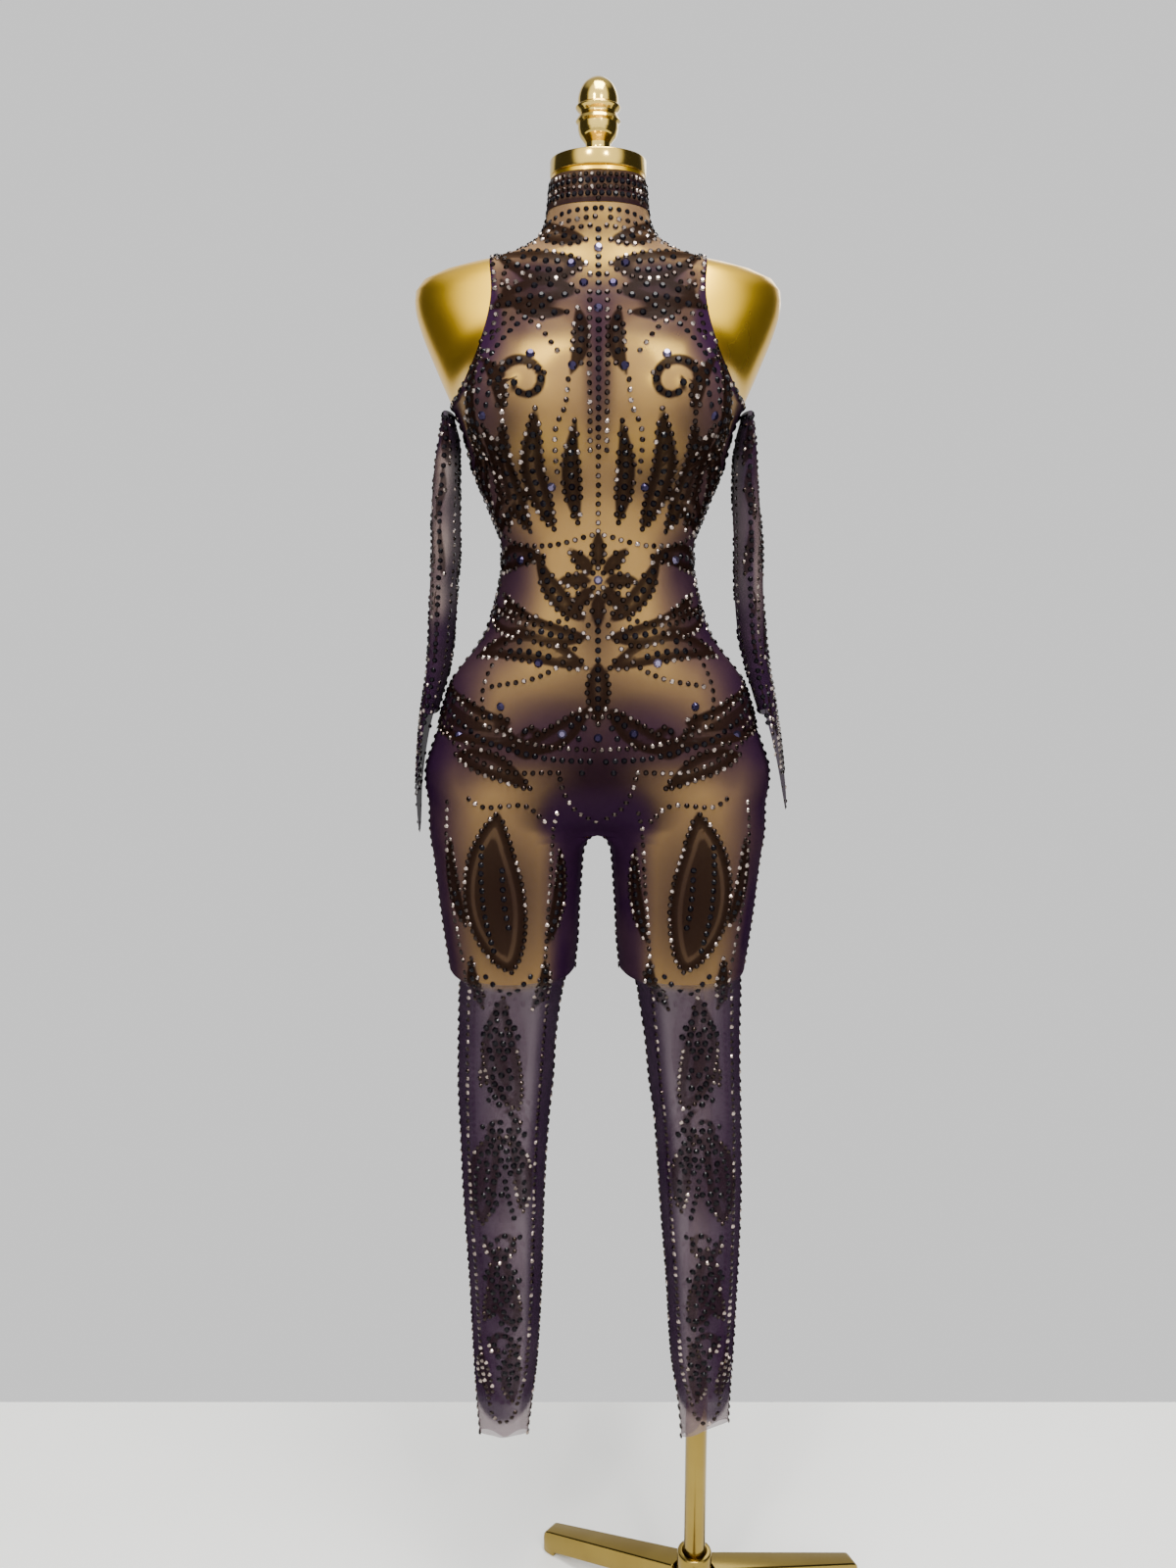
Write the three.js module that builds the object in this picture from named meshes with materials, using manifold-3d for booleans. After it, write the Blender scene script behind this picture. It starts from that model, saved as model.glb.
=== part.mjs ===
// Stage jumpsuit of stretch mesh, worn by a limbless dress form on a pole and a three-legged base.
// Millimetres, +Z up, the front faces -Y. Left and right are the wearer's: left is +X.
// The form is one smooth skin. The cloth is a thin wall just outside that skin, cut into a front, two
// backs, a collar and two sleeves, and below the form's thighs the legs hang free as tapering tubes.
import * as THREE from "three";
import { mergeVertices } from "three/addons/utils/BufferGeometryUtils.js";
import Module from "manifold-3d";

const wasm = await Module();
wasm.setup();

// Driving sizes of the cloth
const CLOTH_GAP = 0.5; // from the form's skin to the cloth
const CLOTH_WALL = 1.0;
const CLOTH_OUT = CLOTH_GAP + CLOTH_WALL; // from the skin to the cloth's outer face
const SEAM_GAP = 0.3; // between two pieces at a seam
const COLLAR_TOP = 1648;
const COLLAR_BOTTOM = 1617;
const THIGH_END = 838; // where the form stops and the legs hang free
const CROTCH_END = 992; // lowest level of the torso's own section
const COLUMNS = 9; // cells from the side seam to the centre, or to the inner leg seam
const SKEW = 1.5; // a cell is split along its other diagonal when that one is this much shorter

// Driving sizes of the form, its pole and its base
const NECK_TOP = 1652;
const POLE_X = 117; // the pole stands under the wearer's left thigh
const POLE_RADIUS = 12.7;
const SEAT_GAP = 0.3; // between rigid pieces that rest on each other
const BASE_AZIMUTHS = { left: 22, right: 142, front: 262 };
const ROUND_SIDES = 20;

// Half sections of the torso: half width, depth in front of and behind the side seam
const TORSO = [
  { z: 1690, half: 46.5, front: 44, back: 50 },
  { z: 1652, half: 46.5, front: 44, back: 50 },
  { z: 1635, half: 48, front: 45, back: 52 },
  { z: 1617, half: 50, front: 47, back: 56 },
  { z: 1600, half: 55, front: 51, back: 61 },
  { z: 1588, half: 66, front: 55, back: 66 },
  { z: 1578, half: 84, front: 59, back: 70 },
  { z: 1571, half: 110, front: 61.6, back: 72.7 },
  { z: 1565, half: 142, front: 63.9, back: 75 },
  { z: 1557, half: 170, front: 67.1, back: 77.8 },
  { z: 1548, half: 181, front: 70.8, back: 80.9 },
  { z: 1538, half: 185, front: 75.2, back: 84.2 },
  { z: 1523, half: 184, front: 82, back: 89 },
  { z: 1504, half: 179, front: 88, back: 93 },
  { z: 1466, half: 164, front: 96, back: 98 },
  { z: 1427, half: 147, front: 97, back: 97 },
  { z: 1407, half: 138, front: 95, back: 95 },
  { z: 1368, half: 128, front: 86, back: 89 },
  { z: 1328, half: 112, front: 79, back: 81 },
  { z: 1288, half: 99, front: 76, back: 75 },
  { z: 1268, half: 99.5, front: 76, back: 75 },
  { z: 1248, half: 103, front: 77, back: 78 },
  { z: 1207, half: 115, front: 81, back: 90 },
  { z: 1186, half: 127, front: 83, back: 98 },
  { z: 1166, half: 143, front: 85, back: 106 },
  { z: 1150, half: 154, front: 86, back: 112 },
  { z: 1137, half: 159, front: 87, back: 117 },
  { z: 1110, half: 167, front: 86, back: 123 },
  { z: 1082, half: 171, front: 84, back: 126 },
  { z: 1060, half: 173, front: 80, back: 125 },
  { z: 1040, half: 170, front: 74, back: 120 },
  { z: 1020, half: 155, front: 62, back: 108 },
  { z: 1005, half: 120, front: 46, back: 82 },
  { z: 992, half: 50, front: 24, back: 40 },
];

// Sections of a leg: centre, half width and depths. Below the thigh's end the two legs hang differently.
const THIGH = [
  { z: 1100, centre: 96, half: 74, front: 76, back: 112 },
  { z: 1060, centre: 97, half: 80, front: 79, back: 116 },
  { z: 1039, centre: 97, half: 82, front: 80, back: 112 },
  { z: 996, centre: 97.5, half: 82, front: 79, back: 102 },
  { z: 953, centre: 96.5, half: 78, front: 77, back: 91 },
  { z: 909, centre: 95.7, half: 74.3, front: 76, back: 85 },
  { z: 865, centre: 94, half: 70.5, front: 74, back: 80 },
  { z: 838, centre: 93.5, half: 67.5, front: 72, back: 77 },
];
const LEG_RIGHT = [
  ...THIGH,
  { z: 826, centre: 93, half: 56.5, front: 63, back: 67 },
  { z: 812, centre: 95, half: 55.5, front: 58, back: 61 },
  { z: 798, centre: 96.5, half: 54.5, front: 56, back: 59 },
  { z: 752, centre: 100, half: 52.5, front: 53, back: 55 },
  { z: 706, centre: 102, half: 51.5, front: 51, back: 53 },
  { z: 660, centre: 104, half: 48.5, front: 49, back: 51 },
  { z: 565, centre: 105.5, half: 44, front: 45, back: 48 },
  { z: 469, centre: 104.5, half: 40, front: 41, back: 44 },
  { z: 371, centre: 105.5, half: 35.5, front: 31, back: 34 },
  { z: 300, centre: 108, half: 30, front: 17, back: 19 },
  { z: 270, centre: 108.7, half: 27.8, front: 11, back: 12 },
];
const LEG_LEFT = [
  ...THIGH,
  { z: 826, centre: 99, half: 57, front: 63, back: 67 },
  { z: 812, centre: 101.5, half: 55.5, front: 58, back: 61 },
  { z: 798, centre: 102.5, half: 54.5, front: 56, back: 59 },
  { z: 752, centre: 106, half: 51, front: 53, back: 55 },
  { z: 706, centre: 109, half: 49.5, front: 51, back: 53 },
  { z: 660, centre: 113, half: 47, front: 49, back: 51 },
  { z: 565, centre: 117.5, half: 44.5, front: 45, back: 48 },
  { z: 469, centre: 120.5, half: 39.5, front: 41, back: 44 },
  { z: 371, centre: 122, half: 34.5, front: 32, back: 35 },
  { z: 310, centre: 125.5, half: 28.5, front: 22, back: 24 },
  { z: 274, centre: 126.8, half: 26.7, front: 18.4, back: 19 },
];
const HEM = {
  // tilt: the outer side rides up and the inner side drops; dip: the front rides up and the back drops;
  // sag: the middle of both hangs below the sides
  left: { level: 274, tilt: 10, dip: 13.5, sag: 3 },
  right: { level: 270, tilt: 0, dip: 8.4, sag: 9 },
};
const HEM_FADE = 80; // height over which the hem's tilt dies out

const BUST = { x: 68, y: -66, z: 1428, across: 63, deep: 56, high: 66, blend: 26 };
const TORSO_POWER = 2.2;
const LEG_POWER = 2.0;
const LEG_BLEND = 30; // round of the crotch and of the fold between thigh and torso
const LEG_ROUND = 6; // rounds the thigh's section where both meet the centre plane

// Centre from which each row's points are cast outwards
const CAST_AXIS = [
  { z: 1560, x: 0 },
  { z: 1400, x: 10 },
  { z: 1268, x: 35 },
  { z: 1150, x: 70 },
  { z: 1060, x: 92 },
  { z: 1000, x: 97 },
  { z: 940, x: 95 },
];

// Rows of points. Across the shoulders a row is a shallow cone: level at the centre, rise per mm outwards.
const NECK_ROWS = [
  { level: 1634, rise: 0 },
  { level: COLLAR_BOTTOM, rise: 0 },
];
const SHOULDER_ROWS = [
  { level: 1604, rise: 0.04 },
  { level: 1591, rise: 0.1 },
  { level: 1578, rise: 0.16 },
  { level: 1565, rise: 0.2 },
  { level: 1553, rise: 0.2 },
  { level: 1542, rise: 0.17 },
  { level: 1533, rise: 0.11 },
  { level: 1522, rise: 0.04 },
];
const TORSO_LEVELS = [
  1504, 1484, 1464, 1444, 1424, 1404, 1384, 1362, 1338, 1314, 1290, 1264, 1238, 1212, 1188, 1164, 1140,
  1112, 1084, 1058, 1036, 1018, 1005, 996,
];
const THIGH_LEVELS = [976, 956, 925, 895, 865, THIGH_END];
const HANGING_LEVELS = [826, 812, 798, 752, 706, 655, 600, 540, 480, 420, 365, 325, 296];

// Armhole edges in the front view, from the shoulder's end down to the underarm
const UNDERARM = 1424;
const ARMHOLE_FRONT = [
  { x: 106, z: 1572 },
  { x: 103, z: 1532 },
  { x: 113, z: 1482 },
  { x: 130, z: 1444 },
  { x: 152, z: UNDERARM },
];
const ARMHOLE_BACK = [
  { x: 106, z: 1572 },
  { x: 110, z: 1532 },
  { x: 119, z: 1482 },
  { x: 133, z: 1444 },
  { x: 152, z: UNDERARM },
];
const ARMHOLE_REACH = { x: 240, z: 1660, y: 220 };

// Sections of a sleeve, which hangs empty beside the body with its flat side towards it
const SLEEVE_TOP_HALF = 5;
const SLEEVE_RIGHT = [
  { z: 1400, centre: 152.5, half: 10, deep: 37, y: -2, turn: 0 },
  { z: 1375, centre: 154.5, half: 12.5, deep: 39, y: -3, turn: 0 },
  { z: 1328, centre: 157, half: 14, deep: 39, y: -4, turn: 2 },
  { z: 1288, centre: 157.5, half: 14, deep: 37, y: -5, turn: 3 },
  { z: 1248, centre: 160.5, half: 13.5, deep: 35, y: -5, turn: 4 },
  { z: 1207, centre: 163, half: 13, deep: 33, y: -6, turn: 4 },
  { z: 1166, centre: 167.5, half: 11.5, deep: 32, y: -7, turn: 3 },
  { z: 1140, centre: 173, half: 10, deep: 31, y: -8, turn: 2 },
  { z: 1115, centre: 178.5, half: 8.5, deep: 31, y: -8, turn: 1 },
  { z: 1090, centre: 182, half: 7.5, deep: 32, y: -8, turn: 0 },
  { z: 1060, centre: 185.5, half: 6, deep: 33, y: -8, turn: 0 },
  { z: 1030, centre: 188, half: 4, deep: 33, y: -8, turn: 0 },
  { z: 988, centre: 188.5, half: 2.5, deep: 33, y: -8, turn: 0 },
];
const SLEEVE_LEFT = [
  { z: 1400, centre: 152, half: 9.5, deep: 37, y: -2, turn: 0 },
  { z: 1375, centre: 151.5, half: 12, deep: 39, y: -3, turn: 0 },
  { z: 1328, centre: 154, half: 14, deep: 39, y: -4, turn: -2 },
  { z: 1288, centre: 157, half: 15, deep: 37, y: -5, turn: -4 },
  { z: 1248, centre: 158, half: 15, deep: 35, y: -5, turn: -4 },
  { z: 1207, centre: 161.5, half: 15, deep: 33, y: -6, turn: -5 },
  { z: 1166, centre: 168.5, half: 13, deep: 32, y: -7, turn: -7 },
  { z: 1140, centre: 175, half: 11.5, deep: 31, y: -8, turn: -9 },
  { z: 1115, centre: 181, half: 9.5, deep: 31, y: -8, turn: -10 },
  { z: 1090, centre: 186.5, half: 8, deep: 32, y: -8, turn: -12 },
  { z: 1060, centre: 192, half: 6, deep: 32, y: -8, turn: -13 },
  { z: 1035, centre: 196.5, half: 4, deep: 32, y: -8, turn: -14 },
  { z: 1013, centre: 199.5, half: 2.5, deep: 32, y: -8, turn: -14 },
];
const CUFF_LEVEL = 1118; // the cuff's inner side, from which the hand point drops
const HAND_POINT = { left: 1013, right: 988 };
const SLEEVE_LEVELS = 15;
const SLEEVE_COLUMNS = 14;

// Centre-back zip: a narrow strip over the seam, its slider and its pull
const ZIP = { top: 1645, bottom: 1205, half: 4, thick: 1.0 };
const SLIDER = { width: 6.4, height: 9, thick: 2.6, drop: 3, gap: 0.6 };
const LUG = { thick: 1.0, reach: 4.2, height: 3.4, spread: 4.6 };
const PIN_RADIUS = 0.55;
const PULL = { eye: 0.95, barrel: 1.7, width: 2.9, neck: 1.4, length: 24, wide: 3.6, thick: 1.2 };

const FINIAL_PROFILE = [
  [15, 0], [15.4, 2], [15, 5.5], [13, 8], [12.4, 11], [12.6, 16], [14.8, 18.5], [18.2, 23], [19.9, 29],
  [20.1, 34.2], [22.2, 36.2], [20.7, 39.2], [18.5, 42.6], [18.6, 44.4], [21.5, 48], [22.2, 49.5], [20, 52],
  [19.6, 58], [18, 64.5], [14.5, 71], [9, 75.5], [4, 77.4],
];
const FINIAL_HEIGHT = 78;
const CAP = { radius: 48, height: 15.6, edge: 0.8 };
const SOCKET = { flange: 24, plate: 5, radius: 17, length: 36 };
const HUB = { radius: 20.5, top: 113, bottom: 40, floor: 6, rim: 2.2 };
const POLE_PLAY = 0.4; // round the pole, inside the hub and the socket
const BASE_LEG = {
  rootTop: 92, tipTop: 31, start: HUB.radius + SEAT_GAP, reach: 227, deepRoot: 29, deepTip: 25, wideRoot: 32, wideTip: 22,
  foot: 17, round: 9,
};

// Tools for tables and curves

/** Returns a function of z that runs smoothly through one column of a table, with no overshoot. */
function column(table, key) {
  const rows = [...table].sort((a, b) => a.z - b.z);
  const z = rows.map((row) => row.z);
  const v = rows.map((row) => row[key]);
  const secant = v.slice(1).map((next, i) => (next - v[i]) / (z[i + 1] - z[i]));
  const slope = v.map((_, i) => {
    if (i === 0 || i === v.length - 1) return 0;
    const [before, after] = [secant[i - 1], secant[i]];
    return before * after <= 0 ? 0 : (2 * before * after) / (before + after);
  });
  return (at) => {
    if (at <= z[0]) return v[0];
    if (at >= z[z.length - 1]) return v[v.length - 1];
    let i = 0;
    while (at > z[i + 1]) i += 1;
    const span = z[i + 1] - z[i];
    const t = (at - z[i]) / span;
    const rest = 1 - t;
    return (
      v[i] * (1 + 2 * t) * rest * rest +
      v[i + 1] * t * t * (3 - 2 * t) +
      slope[i] * span * t * rest * rest -
      slope[i + 1] * span * t * t * rest
    );
  };
}

/** Turns a table into an object of smooth functions, one for each column but z. */
function curves(table) {
  const keys = Object.keys(table[0]).filter((key) => key !== "z");
  return Object.fromEntries(keys.map((key) => [key, column(table, key)]));
}

const torso = curves(TORSO);
const thigh = curves(THIGH);
const leg = { left: curves(LEG_LEFT), right: curves(LEG_RIGHT) };
const castAxis = column(CAST_AXIS, "x");
const SIDES = { left: 1, right: -1 };

/** Distance, along the way out from the section's centre, from a point to the section's edge. */
function sectionDistance(x, y, half, front, back, power) {
  const away = Math.hypot(x, y);
  const share =
    (Math.abs(x / half) ** power + Math.abs(y / (y < 0 ? front : back)) ** power) ** (1 / power);
  return share < 1e-6 ? -Math.min(half, front, back) : away * (1 - 1 / share);
}

/** The lesser of two distances, with the corner between them rounded. */
function softMin(a, b, round) {
  const h = Math.min(1, Math.max(0, 0.5 + (0.5 * (b - a)) / round));
  return b * (1 - h) + a * h - round * h * (1 - h);
}

/** Signed distance, roughly, from a point to the skin: the form's, and below it the hanging legs'. */
function skinDistance(x, y, z, side) {
  if (z < THIGH_END) {
    const s = leg[side];
    const offset = x * SIDES[side] - s.centre(z);
    return sectionDistance(offset, y, s.half(z), s.front(z), s.back(z), LEG_POWER);
  }
  const inThigh = sectionDistance(
    Math.hypot(x, LEG_ROUND) - thigh.centre(z), y, thigh.half(z), thigh.front(z), thigh.back(z), LEG_POWER,
  );
  if (z < CROTCH_END - LEG_BLEND) return inThigh;
  const across = sectionDistance(x, y, torso.half(z), torso.front(z), torso.back(z), TORSO_POWER);
  const inTorso = Math.max(across, CROTCH_END - z);
  if (z < THIGH[0].z) return softMin(inTorso, inThigh, LEG_BLEND * Math.min(1, (THIGH[0].z - z) / 40) + 0.01);
  const bx = (Math.abs(x) - BUST.x) / BUST.across;
  const by = (y - BUST.y) / BUST.deep;
  const bz = (z - BUST.z) / BUST.high;
  const share = Math.hypot(bx, by, bz);
  const reach = Math.hypot(Math.abs(x) - BUST.x, y - BUST.y, z - BUST.z);
  const inBust = share < 1e-6 ? -BUST.deep : reach * (1 - 1 / share);
  return softMin(inTorso, inBust, BUST.blend);
}

/** The skin's outward direction at a point. */
function skinNormal(p, side) {
  const h = 0.5;
  const distance = (dx, dy, dz) => skinDistance(p.x + dx, p.y + dy, p.z + dz, side);
  // Just above the thigh's end the slope down the leg is read on the same side of that level
  const low = p.z - h < THIGH_END && p.z >= THIGH_END ? 0 : -h;
  return new THREE.Vector3(
    (distance(h, 0, 0) - distance(-h, 0, 0)) / (2 * h),
    (distance(0, h, 0) - distance(0, -h, 0)) / (2 * h),
    (distance(0, 0, h) - distance(0, 0, low)) / (h - low),
  ).normalize();
}

/** Level at which the crotch's lowest point lies, on the centre plane. */
function crotchLevel() {
  let [low, high] = [CROTCH_END - LEG_BLEND, CROTCH_END + LEG_BLEND];
  for (let i = 0; i < 40; i += 1) {
    const middle = (low + high) / 2;
    if (skinDistance(0, 0, middle, "left") > 0) low = middle;
    else high = middle;
  }
  return high;
}
const CROTCH = crotchLevel();

/** How far the hem's edge lies above its level at an angle round the leg, where 0 is the outer side. */
function hemRise(side, angle, facing) {
  const { tilt, dip, sag } = HEM[side];
  return tilt * Math.cos(angle) - (dip * facing + sag * Math.sin(angle)) * Math.sin(angle);
}

/** A point of the skin: on one row, at an angle from the side towards the front (-1) or the back (1). */
function skinPoint(row, angle, side, facing) {
  const sign = SIDES[side];
  const axis = row.level < THIGH_END ? leg[side].centre(row.level)
    : row.level < CROTCH ? thigh.centre(row.level) : castAxis(row.level);
  const out = { x: Math.cos(angle) * sign, y: Math.sin(angle) * facing };
  const at = (r) => new THREE.Vector3(axis * sign + out.x * r, out.y * r, row.level + row.rise * r);
  // The ray goes no further than the centre plane, beyond which it could enter the other leg
  const toCentre = Math.cos(angle) < -1e-6 ? axis / -Math.cos(angle) : Infinity;
  let [inside, outside] = [0, Math.min(260, toCentre)];
  for (let i = 0; i < 36; i += 1) {
    const middle = (inside + outside) / 2;
    const p = at(middle);
    if (skinDistance(p.x, p.y, p.z, side) > 0) outside = middle;
    else inside = middle;
  }
  const p = at(inside);
  const fade = Math.max(0, 1 - (row.level - HEM[side].level) / HEM_FADE);
  if (row.level < THIGH_END) p.z += hemRise(side, angle, facing) * fade;
  return p;
}

/** The angle at which a row's own point lies on the centre plane; half a turn below the crotch. */
function centreAngle(row, side, facing) {
  if (row.level < CROTCH) return Math.PI;
  const axis = castAxis(row.level);
  let [low, high] = [0, 260];
  for (let i = 0; i < 40; i += 1) {
    const middle = (low + high) / 2;
    const slant = row.rise * Math.hypot(middle, axis);
    if (skinDistance(0, middle * facing, row.level + slant, side) > 0) high = middle;
    else low = middle;
  }
  return Math.PI - Math.atan2(low, axis);
}

/** One row of a quarter of the body: points and normals from the side to the centre. */
function quarterRow(row, side, facing) {
  const end = centreAngle(row, side, facing);
  return Array.from({ length: COLUMNS + 1 }, (_, i) => {
    const angle = (end * i) / COLUMNS;
    const point = skinPoint(row, angle, side, facing);
    const normal = skinNormal(point, side);
    const onCentre = i === COLUMNS && row.level >= CROTCH;
    if (onCentre) {
      point.x = 0;
      normal.x = 0;
      normal.normalize();
    }
    return { point, normal };
  });
}

// Rows shared by the cloth and the form, so that their facets lie one inside the other
const flat = (level) => ({ level, rise: 0 });
const bodyRows = [...SHOULDER_ROWS, ...TORSO_LEVELS.map(flat), flat(CROTCH)];
const thighRows = THIGH_LEVELS.map(flat);
const hangingRows = (side) => [...HANGING_LEVELS, HEM[side].level].map(flat);

// Tools for solids

/** A geometry from plain points and triangles. */
function geometryOf(points, triangles) {
  const geometry = new THREE.BufferGeometry();
  geometry.setAttribute("position", new THREE.Float32BufferAttribute(points.flatMap((p) => [p.x, p.y, p.z]), 3));
  geometry.setIndex(triangles.flat());
  return geometry;
}

/** Closes a sheet of cells into a wall that lies between two offsets from its points. */
function wall(nodes, cells, inner, outer) {
  const count = nodes.length;
  const shifted = (by) => nodes.map((n) => n.point.clone().addScaledVector(n.normal, by));
  const triangles = [];
  const edges = new Map();
  const walk = (a, b) => {
    const back = `${b},${a}`;
    if (edges.has(back)) edges.delete(back);
    else edges.set(`${a},${b}`, [a, b]);
  };
  for (const [a, b, c, d] of cells) {
    for (const [i, j, k] of [[a, b, c], [a, c, d]]) {
      triangles.push([i, j, k], [i + count, k + count, j + count]);
      walk(i, j);
      walk(j, k);
      walk(k, i);
    }
  }
  for (const [a, b] of edges.values()) triangles.push([b, a, a + count], [b, a + count, b + count]);
  return geometryOf([...shifted(outer), ...shifted(inner)], triangles);
}

/** A sheet of nodes and cells that is grown row by row. */
class Sheet {
  constructor() {
    this.nodes = [];
    this.cells = [];
  }

  /** Adds one row and returns its node numbers. */
  row(nodes) {
    const start = this.nodes.length;
    this.nodes.push(...nodes);
    return nodes.map((_, i) => start + i);
  }

  /** Distance between two nodes. */
  span(a, b) {
    return this.nodes[a].point.distanceTo(this.nodes[b].point);
  }

  /**
   * Joins two rows with cells, which face out when the rows run counter-clockwise seen from above.
   * A cell is split from its first to its third corner, so a skewed one starts at its shorter diagonal.
   */
  join(upper, lower, counterClockwise) {
    for (let i = 0; i + 1 < upper.length; i += 1) {
      const cell = [upper[i], upper[i + 1], lower[i + 1], lower[i]];
      if (counterClockwise) cell.reverse();
      if (this.span(cell[0], cell[2]) > SKEW * this.span(cell[1], cell[3])) cell.push(cell.shift());
      this.cells.push(cell);
    }
  }
}

/** A manifold solid from a geometry, for cutting and joining. */
function solidOf(geometry) {
  const bare = geometry.index ? geometry.toNonIndexed() : geometry.clone();
  bare.deleteAttribute("normal");
  bare.deleteAttribute("uv");
  const merged = mergeVertices(bare, 1e-4);
  return new wasm.Manifold(
    new wasm.Mesh({
      numProp: 3,
      vertProperties: merged.attributes.position.array,
      triVerts: new Uint32Array(merged.index.array),
    }),
  );
}

/** The geometry of a manifold solid. */
function geometryFrom(solid) {
  const { vertProperties, triVerts, numProp, numVert } = solid.getMesh();
  const positions = new Float32Array(numVert * 3);
  for (let i = 0; i < numVert; i += 1) {
    positions.set(vertProperties.subarray(i * numProp, i * numProp + 3), i * 3);
  }
  const geometry = new THREE.BufferGeometry();
  geometry.setAttribute("position", new THREE.BufferAttribute(positions, 3));
  geometry.setIndex(new THREE.BufferAttribute(triVerts, 1));
  return geometry;
}

/** A solid turned about the z axis from a profile of [radius, height] pairs. */
function turned(profile, sides = ROUND_SIDES) {
  return new THREE.LatheGeometry(profile.map(([r, z]) => new THREE.Vector2(r, z)), sides).rotateX(Math.PI / 2);
}

// Materials

const paint = (color, roughness, metalness) => new THREE.MeshStandardMaterial({ color, roughness, metalness });
const MESH_CLOTH = paint(0x7a6670, 0.7, 0);
const GOLD_PAINT = paint(0xc8952e, 0.35, 0.6);
const POLISHED_GOLD = paint(0xd8b04a, 0.12, 1);
const ZIP_METAL = paint(0x3a3038, 0.4, 0.7);

const garment = new THREE.Group();
const stand = new THREE.Group();

/** Adds a named piece to a group. */
function add(group, name, geometry, material) {
  const mesh = new THREE.Mesh(geometry, material);
  mesh.name = name;
  group.add(mesh);
  return mesh;
}

// Cloth panels

/** Moves a panel's seam edges back by half the seam gap, away from the neighbour. */
function easeSeam(nodes, ends, facing) {
  for (const i of ends) nodes[i].point.y += (facing * SEAM_GAP) / 2;
  return nodes;
}

/** The outline outside an armhole's edge, as a solid that cuts one face of the body. */
function armholeCutter(edge, side, facing) {
  const sign = SIDES[side];
  const shape = new THREE.Shape();
  const outline = [...edge].map(({ x, z }) => new THREE.Vector2(x * sign, z));
  shape.moveTo(outline[0].x, ARMHOLE_REACH.z);
  shape.lineTo(outline[0].x, outline[0].y);
  shape.splineThru(outline.slice(1));
  shape.lineTo(ARMHOLE_REACH.x * sign, UNDERARM);
  shape.lineTo(ARMHOLE_REACH.x * sign, ARMHOLE_REACH.z);
  const prism = new THREE.ExtrudeGeometry(shape, { depth: ARMHOLE_REACH.y, bevelEnabled: false, curveSegments: 3 });
  prism.rotateX(Math.PI / 2);
  if (facing > 0) prism.translate(0, ARMHOLE_REACH.y, 0);
  return solidOf(prism);
}

/** Cuts both armholes out of a panel that spans the given sides. */
function cutArmholes(geometry, edge, sides, facing) {
  let solid = solidOf(geometry);
  for (const side of sides) solid = solid.subtract(armholeCutter(edge, side, facing));
  return geometryFrom(solid);
}

/** Adds the leg below the crotch to a sheet, hanging from the crotch's row. */
function growLeg(sheet, crotchRow, side, facing) {
  let above = crotchRow;
  for (const row of [...thighRows, ...hangingRows(side)]) {
    const nodes = easeSeam(quarterRow(row, side, facing), [0, COLUMNS], facing);
    const below = sheet.row(nodes);
    sheet.join(above, below, SIDES[side] * facing > 0);
    above = below;
  }
}

/** The front: one piece from collar to both hems, folded round to the side seams. */
function frontPanel() {
  const sheet = new Sheet();
  let above = null;
  for (const row of [flat(COLLAR_BOTTOM), ...bodyRows]) {
    const right = easeSeam(quarterRow(row, "right", -1), [0], -1);
    const left = easeSeam(quarterRow(row, "left", -1), [0], -1);
    if (row.level === CROTCH) right[COLUMNS].point.y -= SEAM_GAP / 2;
    const across = sheet.row([...right, ...left.slice(0, COLUMNS).reverse()]);
    if (above) sheet.join(above, across, true);
    above = across;
  }
  growLeg(sheet, above.slice(0, COLUMNS + 1), "right", -1);
  growLeg(sheet, above.slice(COLUMNS).reverse(), "left", -1);
  return cutArmholes(wall(sheet.nodes, sheet.cells, CLOTH_GAP, CLOTH_OUT), ARMHOLE_FRONT, ["left", "right"], -1);
}

/** One back: from collar to hem, from the side seam to the centre-back seam. */
function backPanel(side) {
  const sheet = new Sheet();
  let above = null;
  for (const row of [flat(COLLAR_BOTTOM), ...bodyRows]) {
    const nodes = easeSeam(quarterRow(row, side, 1), [0], 1);
    nodes[COLUMNS].point.x += (SIDES[side] * SEAM_GAP) / 2;
    if (row.level === CROTCH) nodes[COLUMNS].point.y += SEAM_GAP / 2;
    const across = sheet.row(nodes);
    if (above) sheet.join(above, across, SIDES[side] > 0);
    above = across;
  }
  growLeg(sheet, above, side, 1);
  return cutArmholes(wall(sheet.nodes, sheet.cells, CLOTH_GAP, CLOTH_OUT), ARMHOLE_BACK, [side], 1);
}

/** The collar: a band round the neck that opens at the centre back. */
function collarBand() {
  const sheet = new Sheet();
  let above = null;
  for (const row of [flat(COLLAR_TOP), NECK_ROWS[0], flat(COLLAR_BOTTOM + SEAM_GAP)]) {
    const quarter = (side, facing) => quarterRow(row, side, facing);
    const nodes = [
      ...quarter("right", 1).reverse(),
      ...quarter("right", -1).slice(1),
      ...quarter("left", -1).reverse().slice(1),
      ...quarter("left", 1).slice(1),
    ];
    nodes[0].point.x -= SEAM_GAP / 2;
    nodes[nodes.length - 1].point.x += SEAM_GAP / 2;
    const across = sheet.row(nodes);
    if (above) sheet.join(above, across, true);
    above = across;
  }
  return wall(sheet.nodes, sheet.cells, CLOTH_GAP, CLOTH_OUT);
}

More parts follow.
